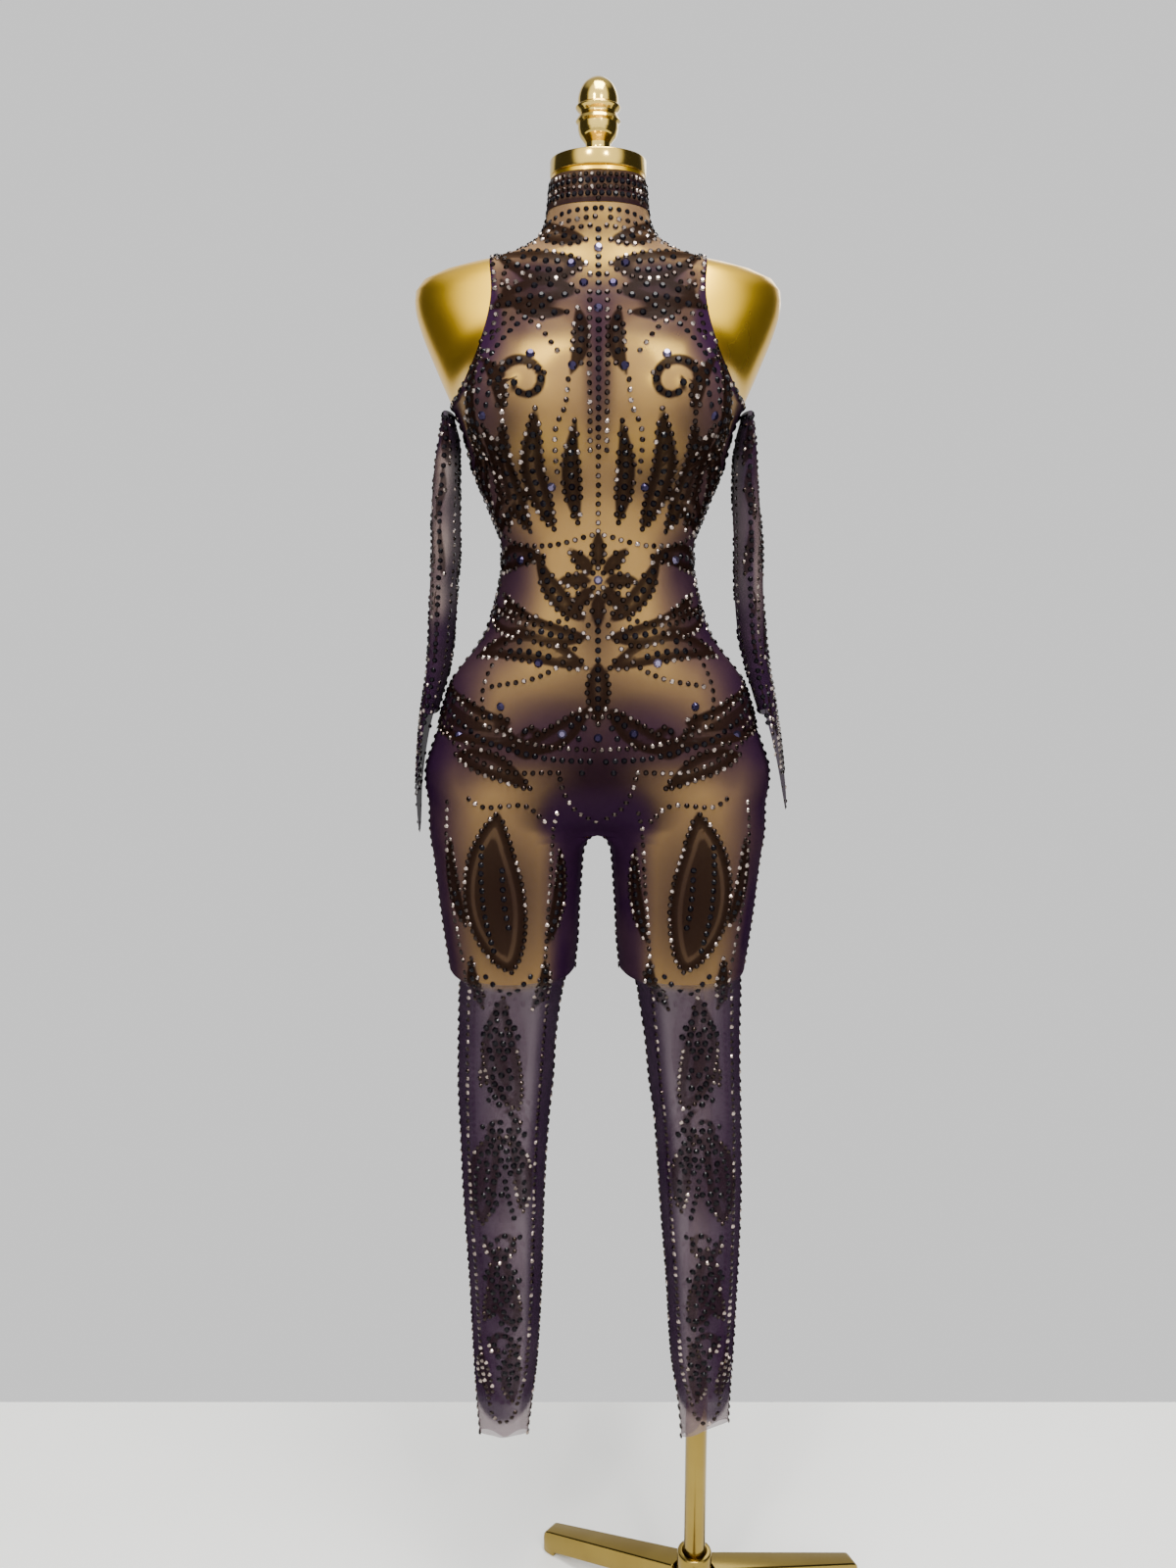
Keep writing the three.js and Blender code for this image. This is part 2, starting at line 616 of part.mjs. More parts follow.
/** A sleeve: a flattened tube that hangs from the underarm and ends in a hand point on its outer side. */
function sleeveTube(side) {
  const sign = SIDES[side];
  const table = side === "left" ? SLEEVE_LEFT : SLEEVE_RIGHT;
  const topCentre = torso.half(UNDERARM) + CLOTH_OUT + SEAM_GAP + CLOTH_WALL / 2 + SLEEVE_TOP_HALF;
  const section = curves([{ z: UNDERARM, centre: topCentre, half: SLEEVE_TOP_HALF, deep: 34, y: 0, turn: 0 }, ...table]);
  const point = (z, angle) => {
    const turn = THREE.MathUtils.degToRad(section.turn(z)) * sign;
    const x = section.half(z) * Math.cos(angle) * sign;
    const y = section.deep(z) * Math.sin(angle);
    return new THREE.Vector3(
      section.centre(z) * sign + x * Math.cos(turn) - y * Math.sin(turn),
      section.y(z) + x * Math.sin(turn) + y * Math.cos(turn),
      z,
    );
  };
  const sheet = new Sheet();
  let above = null;
  for (let j = 0; j <= SLEEVE_LEVELS; j += 1) {
    const nodes = Array.from({ length: SLEEVE_COLUMNS }, (_, i) => {
      const angle = (2 * Math.PI * i) / SLEEVE_COLUMNS;
      const towardsPoint = Math.max(0, (Math.cos(angle) + 0.2) / 1.2) ** 1.3;
      const bottom = CUFF_LEVEL - (CUFF_LEVEL - HAND_POINT[side]) * towardsPoint;
      const z = UNDERARM + (bottom - UNDERARM) * (j / SLEEVE_LEVELS);
      const [p, round, down] = [point(z, angle), point(z, angle + 0.01), point(z - 1, angle)];
      const normal = new THREE.Vector3().crossVectors(round.sub(p), down.sub(p)).normalize();
      return { point: p, normal: normal.multiplyScalar(-sign) };
    });
    const ring = sheet.row(nodes);
    ring.push(ring[0]);
    if (above) sheet.join(above, ring, sign > 0);
    above = ring;
  }
  return wall(sheet.nodes, sheet.cells, -CLOTH_WALL / 2, CLOTH_WALL / 2);
}

/** The skin on the centre-back line at a level. */
function centreBack(level) {
  const row = flat(level);
  const point = skinPoint(row, centreAngle(row, "left", 1), "left", 1);
  point.x = 0;
  const normal = skinNormal(point, "left").setX(0).normalize();
  return { point, normal };
}

/** The zip's closed strip, which lies on the collar and on both backs and bends at their rows. */
function zipStrip() {
  const sheet = new Sheet();
  let above = null;
  const body = [...NECK_ROWS, ...SHOULDER_ROWS].map((row) => row.level).concat(TORSO_LEVELS);
  for (const level of [ZIP.top, ...body.filter((z) => z < ZIP.top && z > ZIP.bottom), ZIP.bottom]) {
    const { point, normal } = centreBack(level);
    const edge = (x) => ({ point: point.clone().setX(x), normal });
    const across = sheet.row([edge(ZIP.half), edge(0), edge(-ZIP.half)]);
    if (above) sheet.join(above, across, true);
    above = across;
  }
  return wall(sheet.nodes, sheet.cells, CLOTH_OUT + SEAM_GAP, CLOTH_OUT + SEAM_GAP + ZIP.thick);
}

// Zip slider and pull, built upright round the pin and then leant back along the neck
const pinAt = centreBack(ZIP.top - SLIDER.drop - SLIDER.height / 2);
const lean = Math.atan2(pinAt.normal.z, pinAt.normal.y);
const pinHeight = CLOTH_OUT + SEAM_GAP + ZIP.thick + SLIDER.gap + SLIDER.thick + LUG.reach / 2;

/** Moves a geometry made round the pin, with +Y away from the cloth, to its place on the zip. */
function ontoZip(geometry) {
  const pin = pinAt.point.clone().addScaledVector(pinAt.normal, pinHeight);
  return geometry.rotateX(lean).translate(pin.x, pin.y, pin.z);
}

/** The slider: a body on the strip, two lugs and the pin between them. */
function zipSlider() {
  const body = new THREE.BoxGeometry(SLIDER.width, SLIDER.thick, SLIDER.height);
  body.translate(0, -LUG.reach / 2 - SLIDER.thick / 2, 0);
  let solid = solidOf(body);
  const lugCentre = (LUG.spread + LUG.thick) / 2;
  for (const sign of [-1, 1]) {
    const lug = new THREE.BoxGeometry(LUG.thick, LUG.reach + 1, LUG.height).translate(sign * lugCentre, 0, 0);
    solid = solid.add(solidOf(lug));
  }
  const pin = new THREE.CylinderGeometry(PIN_RADIUS, PIN_RADIUS, LUG.spread + LUG.thick, 12).rotateZ(Math.PI / 2);
  return ontoZip(geometryFrom(solid.add(solidOf(pin))));
}

/** The pull: a barrel round the pin and a drop-shaped tab below it. */
function zipPull() {
  const ring = new THREE.Shape().absarc(0, 0, PULL.barrel, 0, 2 * Math.PI, false);
  ring.holes.push(new THREE.Path().absarc(0, 0, PULL.eye, 0, 2 * Math.PI, true));
  const barrel = new THREE.ExtrudeGeometry(ring, { depth: PULL.width, bevelEnabled: false, curveSegments: 8 });
  barrel.translate(0, 0, -PULL.width / 2).rotateY(Math.PI / 2);
  const tab = new THREE.Shape();
  const drop = PULL.length - PULL.wide;
  tab.moveTo(-PULL.neck, -PULL.barrel + 0.4);
  tab.lineTo(-PULL.wide, -drop);
  tab.absarc(0, -drop, PULL.wide, Math.PI, 2 * Math.PI, false);
  tab.lineTo(PULL.neck, -PULL.barrel + 0.4);
  const plate = new THREE.ExtrudeGeometry(tab, { depth: PULL.thick, bevelEnabled: false, curveSegments: 10 });
  plate.translate(0, 0, -PULL.thick / 2).rotateX(Math.PI / 2);
  return ontoZip(geometryFrom(solidOf(barrel).add(solidOf(plate))));
}

add(garment, "front", frontPanel(), MESH_CLOTH);
add(garment, "back_left", backPanel("left"), MESH_CLOTH);
add(garment, "back_right", backPanel("right"), MESH_CLOTH);
add(garment, "collar", collarBand(), MESH_CLOTH);
add(garment, "sleeve_left", sleeveTube("left"), MESH_CLOTH);
add(garment, "sleeve_right", sleeveTube("right"), MESH_CLOTH);
add(garment, "zip_strip", zipStrip(), ZIP_METAL);
add(garment, "zip_slider", zipSlider(), ZIP_METAL);
add(garment, "zip_pull", zipPull(), ZIP_METAL);

// Dress form

/** The form: a closed skin from the neck to the two thigh ends, with no arms and no lower legs. */
function dressForm() {
  const sheet = new Sheet();
  const ringOf = (row) => {
    const quarter = (side, facing) => quarterRow(row, side, facing);
    return sheet.row([
      ...quarter("right", 1).reverse().slice(1),
      ...quarter("right", -1).slice(1),
      ...quarter("left", -1).reverse().slice(1),
      ...quarter("left", 1).slice(1),
    ]);
  };
  const close = (ring) => [...ring, ring[0]];
  const cap = (ring, level, up) => {
    const centre = ring.reduce((sum, i) => sum.add(sheet.nodes[i].point), new THREE.Vector3()).divideScalar(ring.length);
    const [middle] = sheet.row([{ point: centre.setZ(level), normal: new THREE.Vector3(0, 0, up) }]);
    close(ring).slice(1).forEach((next, i) => {
      sheet.triangles.push(up > 0 ? [middle, ring[i], next] : [middle, next, ring[i]]);
    });
  };
  sheet.triangles = [];
  let above = ringOf(flat(NECK_TOP));
  cap(above, NECK_TOP, 1);
  for (const row of [...NECK_ROWS, ...bodyRows]) {
    const ring = ringOf(row);
    sheet.join(close(above), close(ring), true);
    above = ring;
  }
  // The last ring passes the crotch twice, at the front and at the back of its centre
  const crotchBack = above[above.length - 1];
  sheet.nodes[crotchBack].point.copy(sheet.nodes[above[2 * COLUMNS - 1]].point);
  const halves = {
    right: [crotchBack, ...above.slice(0, 2 * COLUMNS - 1), crotchBack],
    left: [crotchBack, ...above.slice(2 * COLUMNS, 4 * COLUMNS - 1), crotchBack],
  };
  for (const side of ["right", "left"]) {
    let upper = halves[side];
    for (const row of thighRows) {
      const frontHalf = quarterRow(row, side, -1);
      const backHalf = quarterRow(row, side, 1);
      const around = side === "right"
        ? [...backHalf.reverse(), ...frontHalf.slice(1, -1)]
        : [...frontHalf.reverse(), ...backHalf.slice(1, -1)];
      const ring = sheet.row(around);
      sheet.join(upper, close(ring), true);
      upper = close(ring);
    }
    cap(upper.slice(0, -1), THIGH_END, -1);
  }
  const points = sheet.nodes.map((n) => n.point);
  const triangles = sheet.cells.flatMap(([a, b, c, d]) => [[a, b, c], [a, c, d]]).concat(sheet.triangles);
  return geometryOf(points, triangles);
}

add(stand, "form", dressForm(), GOLD_PAINT);

// Neck cap and finial

add(stand, "neck_cap", turned([
  [0, 0], [CAP.radius - CAP.edge, 0], [CAP.radius, CAP.edge], [CAP.radius, CAP.height - CAP.edge],
  [CAP.radius - CAP.edge, CAP.height], [0, CAP.height],
], 40), POLISHED_GOLD).position.set(0, 0, NECK_TOP + SEAT_GAP);

const finialProfile = [[0, 0], ...FINIAL_PROFILE, [0, FINIAL_HEIGHT]];
add(stand, "finial", turned(finialProfile), POLISHED_GOLD)
  .position.set(0, 0, NECK_TOP + CAP.height + 2 * SEAT_GAP);

// Pole, the socket that it enters under the thigh, and the base

const socketTop = THIGH_END - SEAT_GAP;
const poleTop = socketTop - SOCKET.plate - SEAT_GAP;
const poleBottom = HUB.bottom + HUB.floor + SEAT_GAP;
const boreRadius = POLE_RADIUS + POLE_PLAY;

const mast = new THREE.Group();
mast.position.set(POLE_X, 0, 0);
stand.add(mast);

add(mast, "pole", turned([
  [0, poleBottom], [POLE_RADIUS, poleBottom], [POLE_RADIUS, poleTop], [0, poleTop],
]), POLISHED_GOLD);

add(mast, "pole_socket", turned([
  [0, socketTop - SOCKET.plate], [boreRadius, socketTop - SOCKET.plate], [boreRadius, socketTop - SOCKET.length],
  [SOCKET.radius, socketTop - SOCKET.length], [SOCKET.radius, socketTop - SOCKET.plate],
  [SOCKET.flange, socketTop - SOCKET.plate], [SOCKET.flange, socketTop], [0, socketTop],
]), POLISHED_GOLD);

add(mast, "base_hub", turned([
  [0, HUB.bottom], [HUB.radius, HUB.bottom], [HUB.radius, HUB.top - HUB.rim], [HUB.radius - HUB.rim, HUB.top],
  [boreRadius + HUB.rim, HUB.top], [boreRadius, HUB.top - HUB.rim], [boreRadius, HUB.bottom + HUB.floor],
  [0, HUB.bottom + HUB.floor],
]), POLISHED_GOLD);

/** A leg of the base: a sloping beam that narrows outwards and ends in a foot on the floor. */
function baseLeg() {
  const { rootTop, tipTop, start, reach, deepRoot, deepTip, wideRoot, wideTip, foot, round } = BASE_LEG;
  const side = new THREE.Shape();
  side.moveTo(start, rootTop - deepRoot);
  side.lineTo(reach - foot, tipTop - deepTip);
  side.lineTo(reach - foot, 0);
  side.lineTo(reach - 3, 0);
  side.lineTo(reach, 3);
  side.lineTo(reach, tipTop - round);
  side.quadraticCurveTo(reach, tipTop, reach - round, tipTop + 1.5);
  side.lineTo(start, rootTop);
  side.closePath();
  const beam = new THREE.ExtrudeGeometry(side, { depth: 1, bevelEnabled: false, curveSegments: 3 });
  beam.translate(0, 0, -0.5).rotateX(Math.PI / 2);
  const corners = beam.attributes.position;
  for (let i = 0; i < corners.count; i += 1) {
    const outwards = (corners.getX(i) - start) / (reach - start);
    corners.setY(i, corners.getY(i) * (wideRoot + (wideTip - wideRoot) * outwards));
  }
  return geometryFrom(solidOf(beam));
}

for (const [name, azimuth] of Object.entries(BASE_AZIMUTHS)) {
  add(mast, `base_leg_${name}`, baseLeg(), POLISHED_GOLD).rotation.z = THREE.MathUtils.degToRad(azimuth);
}

// The whole, with its origin on the floor at the middle of its footprint
const whole = new THREE.Group();
whole.add(garment, stand);
whole.updateMatrixWorld(true);
const footprint = new THREE.Box3().setFromObject(whole, true);
whole.position.set(-(footprint.min.x + footprint.max.x) / 2, -(footprint.min.y + footprint.max.y) / 2, -footprint.min.z);

export default whole;
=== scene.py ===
"""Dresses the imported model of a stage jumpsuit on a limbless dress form.

The suit is stretch mesh with a printed design and rhinestones. Its panels are fine grids laid over the
same smooth skin that the form has, and the stones stand on those grids. Sizes are in millimetres, in the
form's own frame (its centre line at x = y = 0), and turn into metres of the row frame when a mesh is made.
"""

import logging
import math
from dataclasses import dataclass, field
from enum import Enum
from itertools import product
from typing import Callable, Iterable, NamedTuple, Sequence

import bpy
import numpy as np
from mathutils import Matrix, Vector


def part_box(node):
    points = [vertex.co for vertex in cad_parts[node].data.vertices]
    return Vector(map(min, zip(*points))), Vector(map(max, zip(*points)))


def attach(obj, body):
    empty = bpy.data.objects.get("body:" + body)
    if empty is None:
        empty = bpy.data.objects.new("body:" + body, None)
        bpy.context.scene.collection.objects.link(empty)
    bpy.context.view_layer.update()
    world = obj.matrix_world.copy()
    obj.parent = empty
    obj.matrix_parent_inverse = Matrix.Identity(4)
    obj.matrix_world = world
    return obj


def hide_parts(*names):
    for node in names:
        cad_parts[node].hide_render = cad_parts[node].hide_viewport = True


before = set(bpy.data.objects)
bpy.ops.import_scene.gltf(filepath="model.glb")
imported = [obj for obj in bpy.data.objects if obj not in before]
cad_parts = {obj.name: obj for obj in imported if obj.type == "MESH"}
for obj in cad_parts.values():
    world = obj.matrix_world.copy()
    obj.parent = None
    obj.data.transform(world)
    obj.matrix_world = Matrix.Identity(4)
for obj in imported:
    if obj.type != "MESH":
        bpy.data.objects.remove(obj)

LOG = logging.getLogger("jumpsuit")
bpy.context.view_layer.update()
BODY = "suit_on_stand"
MM = 0.001
POLE_X = 117.0  # from the form's centre line to the pole's
SEED = 7

THIGH_END = 838.0
CROTCH_END = 992.0
UNDERARM = 1424.0
COLLAR_BOTTOM = 1617.0
COLLAR_TOP = 1648.0
NECK_TOP = 1652.0
FORM_SKIN = 0.0
CLOTH_REST = 1.0  # the cloth's surface, from the form's skin
HEM_FADE = 80.0  # how far above the hem its tilt and sag begin
NO_INK = -12.0  # the depth of ink that stands for bare cloth
WIDE_LEAF = 26.0  # from this width on, a leaf carries two rows of stones
REACH_LIMIT = 260.0  # farther from a row's axis than any point of the skin
SLEEVE_CLEARANCE = 2.3  # from the form's side to the sleeve's inner side, at the underarm


class Side(Enum):
    """The wearer's side."""

    LEFT = 1
    RIGHT = -1


class Facing(Enum):
    """Front or back half."""

    FRONT = -1
    BACK = 1


class Section(NamedTuple):
    """A level section of torso or leg: its centre's x, half width and depths to front and back."""

    z: float
    centre: float
    half: float
    front: float
    back: float


class Hang(NamedTuple):
    """A level section of a hanging sleeve, turned about its centre by degrees."""

    z: float
    centre: float
    half: float
    deep: float
    y: float
    turn: float


TORSO = [
    Section(1690, 0, 46.5, 44, 50), Section(1652, 0, 46.5, 44, 50), Section(1635, 0, 48, 45, 52),
    Section(1617, 0, 50, 47, 56), Section(1600, 0, 55, 51, 61), Section(1588, 0, 66, 55, 66),
    Section(1578, 0, 84, 59, 70), Section(1571, 0, 110, 61.6, 72.7), Section(1565, 0, 142, 63.9, 75),
    Section(1557, 0, 170, 67.1, 77.8), Section(1548, 0, 181, 70.8, 80.9), Section(1538, 0, 185, 75.2, 84.2),
    Section(1523, 0, 184, 82, 89), Section(1504, 0, 179, 88, 93), Section(1466, 0, 164, 96, 98),
    Section(1427, 0, 147, 97, 97), Section(1407, 0, 138, 95, 95), Section(1368, 0, 128, 86, 89),
    Section(1328, 0, 112, 79, 81), Section(1288, 0, 99, 76, 75), Section(1268, 0, 99.5, 76, 75),
    Section(1248, 0, 103, 77, 78), Section(1207, 0, 115, 81, 90), Section(1186, 0, 127, 83, 98),
    Section(1166, 0, 143, 85, 106), Section(1150, 0, 154, 86, 112), Section(1137, 0, 159, 87, 117),
    Section(1110, 0, 167, 86, 123), Section(1082, 0, 171, 84, 126), Section(1060, 0, 173, 80, 125),
    Section(1040, 0, 170, 74, 120), Section(1020, 0, 155, 62, 108), Section(1005, 0, 120, 46, 82),
    Section(992, 0, 50, 24, 40),
]
THIGH = [
    Section(1100, 96, 74, 76, 112), Section(1060, 97, 80, 79, 116), Section(1039, 97, 82, 80, 112),
    Section(996, 97.5, 82, 79, 102), Section(953, 96.5, 78, 77, 91), Section(909, 95.7, 74.3, 76, 85),
    Section(865, 94, 70.5, 74, 80), Section(838, 93.5, 67.5, 72, 77),
]
LOWER_LEG = {
    Side.RIGHT: [
        Section(826, 93, 56.5, 63, 67), Section(812, 95, 55.5, 58, 61), Section(798, 96.5, 54.5, 56, 59),
        Section(752, 100, 52.5, 53, 55), Section(706, 102, 51.5, 51, 53), Section(660, 104, 48.5, 49, 51),
        Section(565, 105.5, 44, 45, 48), Section(469, 104.5, 40, 41, 44), Section(371, 105.5, 35.5, 31, 34),
        Section(300, 108, 30, 17, 19), Section(270, 108.7, 27.8, 11, 12),
    ],
    Side.LEFT: [
        Section(826, 99, 57, 63, 67), Section(812, 101.5, 55.5, 58, 61), Section(798, 102.5, 54.5, 56, 59),
        Section(752, 106, 51, 53, 55), Section(706, 109, 49.5, 51, 53), Section(660, 113, 47, 49, 51),
        Section(565, 117.5, 44.5, 45, 48), Section(469, 120.5, 39.5, 41, 44), Section(371, 122, 34.5, 32, 35),
        Section(310, 125.5, 28.5, 22, 24), Section(274, 126.8, 26.7, 18.4, 19),
    ],
}
HEM_LEVEL = {Side.LEFT: 274.0, Side.RIGHT: 270.0}
HEM_TILT = {Side.LEFT: 10.0, Side.RIGHT: 0.0}  # the outer side rides up
HEM_DIP = {Side.LEFT: 13.5, Side.RIGHT: 8.4}  # the front rides up and the back drops
HEM_SAG = {Side.LEFT: 3.0, Side.RIGHT: 9.0}  # the middle hangs below the sides
HAND_POINT = {Side.LEFT: 1013.0, Side.RIGHT: 988.0}
CUFF_LEVEL = 1118.0
SLEEVE_TOP_HALF = 5.0
SLEEVE = {
    Side.RIGHT: [
        Hang(1400, 152.5, 10, 37, -2, 0), Hang(1375, 154.5, 12.5, 39, -3, 0), Hang(1328, 157, 14, 39, -4, 2),
        Hang(1288, 157.5, 14, 37, -5, 3), Hang(1248, 160.5, 13.5, 35, -5, 4), Hang(1207, 163, 13, 33, -6, 4),
        Hang(1166, 167.5, 11.5, 32, -7, 3), Hang(1140, 173, 10, 31, -8, 2), Hang(1115, 178.5, 8.5, 31, -8, 1),
        Hang(1090, 182, 7.5, 32, -8, 0), Hang(1060, 185.5, 6, 33, -8, 0), Hang(1030, 188, 4, 33, -8, 0),
        Hang(988, 188.5, 2.5, 33, -8, 0),
    ],
    Side.LEFT: [
        Hang(1400, 152, 9.5, 37, -2, 0), Hang(1375, 151.5, 12, 39, -3, 0), Hang(1328, 154, 14, 39, -4, -2),
        Hang(1288, 157, 15, 37, -5, -4), Hang(1248, 158, 15, 35, -5, -4), Hang(1207, 161.5, 15, 33, -6, -5),
        Hang(1166, 168.5, 13, 32, -7, -7), Hang(1140, 175, 11.5, 31, -8, -9),
        Hang(1115, 181, 9.5, 31, -8, -10), Hang(1090, 186.5, 8, 32, -8, -12), Hang(1060, 192, 6, 32, -8, -13),
        Hang(1035, 196.5, 4, 32, -8, -14), Hang(1013, 199.5, 2.5, 32, -8, -14),
    ],
}
CAST_AXIS = [(1560, 0), (1400, 10), (1268, 35), (1150, 70), (1060, 92), (1000, 97), (940, 95)]
ROW_RISE = [
    (1617, 0), (1604, 0.04), (1591, 0.1), (1578, 0.16), (1565, 0.2), (1553, 0.2), (1542, 0.17), (1533, 0.11),
    (1522, 0.04), (1504, 0),
]
ARMHOLE = {
    Facing.FRONT: [(1572, 106), (1532, 103), (1482, 113), (1444, 130), (1424, 152)],
    Facing.BACK: [(1572, 106), (1532, 110), (1482, 119), (1444, 133), (1424, 152)],
}
BUST_CENTRE = (68.0, -66.0, 1428.0)
BUST_RADII = (63.0, 56.0, 66.0)
BUST_BLEND = 26.0
LEG_BLEND = 30.0
LEG_ROUND = 6.0
LEG_JOIN = 1100.0  # above this level the torso stands alone


class Curve:
    """A smooth curve through a table's values that never overshoots them."""

    def __init__(self, z: Iterable[float], values: Iterable[float]) -> None:
        """Args:
            z: the levels, in any order.
            values: the value at each level.
        """
        order = np.argsort(list(z))
        self.z = np.array(list(z), float)[order]
        self.v = np.array(list(values), float)[order]
        secant = np.diff(self.v) / np.diff(self.z)
        both = secant[:-1] * secant[1:]
        total = np.where(both > 0, secant[:-1] + secant[1:], 1.0)
        self.slope = np.zeros(len(self.z))
        self.slope[1:-1] = np.where(both > 0, 2 * both / total, 0.0)

    def __call__(self, at: np.ndarray) -> np.ndarray:
        """Returns the curve's values at the levels."""
        at = np.clip(at, self.z[0], self.z[-1])
        i = np.clip(np.searchsorted(self.z, at) - 1, 0, len(self.z) - 2)
        span = self.z[i + 1] - self.z[i]
        t = (at - self.z[i]) / span
        rest = 1 - t
        return (
            self.v[i] * (1 + 2 * t) * rest**2
            + self.v[i + 1] * t**2 * (3 - 2 * t)
            + self.slope[i] * span * t * rest**2
            - self.slope[i + 1] * span * t**2 * rest
        )


def table_curves(rows: Sequence[NamedTuple]) -> dict[str, Curve]:
    """Returns a curve over z for each other column of a table of named rows."""
    names = [name for name in rows[0]._fields if name != "z"]
    return {name: Curve([r.z for r in rows], [getattr(r, name) for r in rows]) for name in names}


def pair_curve(pairs: Sequence[tuple[float, float]]) -> Curve:
    """Returns a curve through pairs of level and value."""
    return Curve([z for z, _ in pairs], [v for _, v in pairs])


def soft_min(a: np.ndarray, b: np.ndarray, blend: np.ndarray | float) -> np.ndarray:
    """Returns the lesser of two distances with the corner between them rounded."""
    h = np.clip(0.5 + 0.5 * (b - a) / blend, 0, 1)
    return b * (1 - h) + a * h - blend * h * (1 - h)


def smooth_step(low: float, high: float | np.ndarray, at: np.ndarray) -> np.ndarray:
    """Returns 0 below low, 1 above high and a smooth ramp between."""
    t = np.clip((at - low) / (high - low), 0, 1)
    return t * t * (3 - 2 * t)


def soft_curve(corners: Sequence[tuple[float, float]], steps: int) -> np.ndarray:
    """Returns a soft curve through corners, each span cut into steps."""
    c = np.array(corners, float)
    fine = np.linspace(0, len(c) - 1, steps * (len(c) - 1) + 1)
    slope = np.gradient(c, axis=0)
    i = np.clip(fine.astype(int), 0, len(c) - 2)
    u = (fine - i)[:, None]
    return (
        c[i] * (1 + 2 * u) * (1 - u) ** 2 + c[i + 1] * u**2 * (3 - 2 * u)
        + slope[i] * u * (1 - u) ** 2 - slope[i + 1] * u**2 * (1 - u)
    )


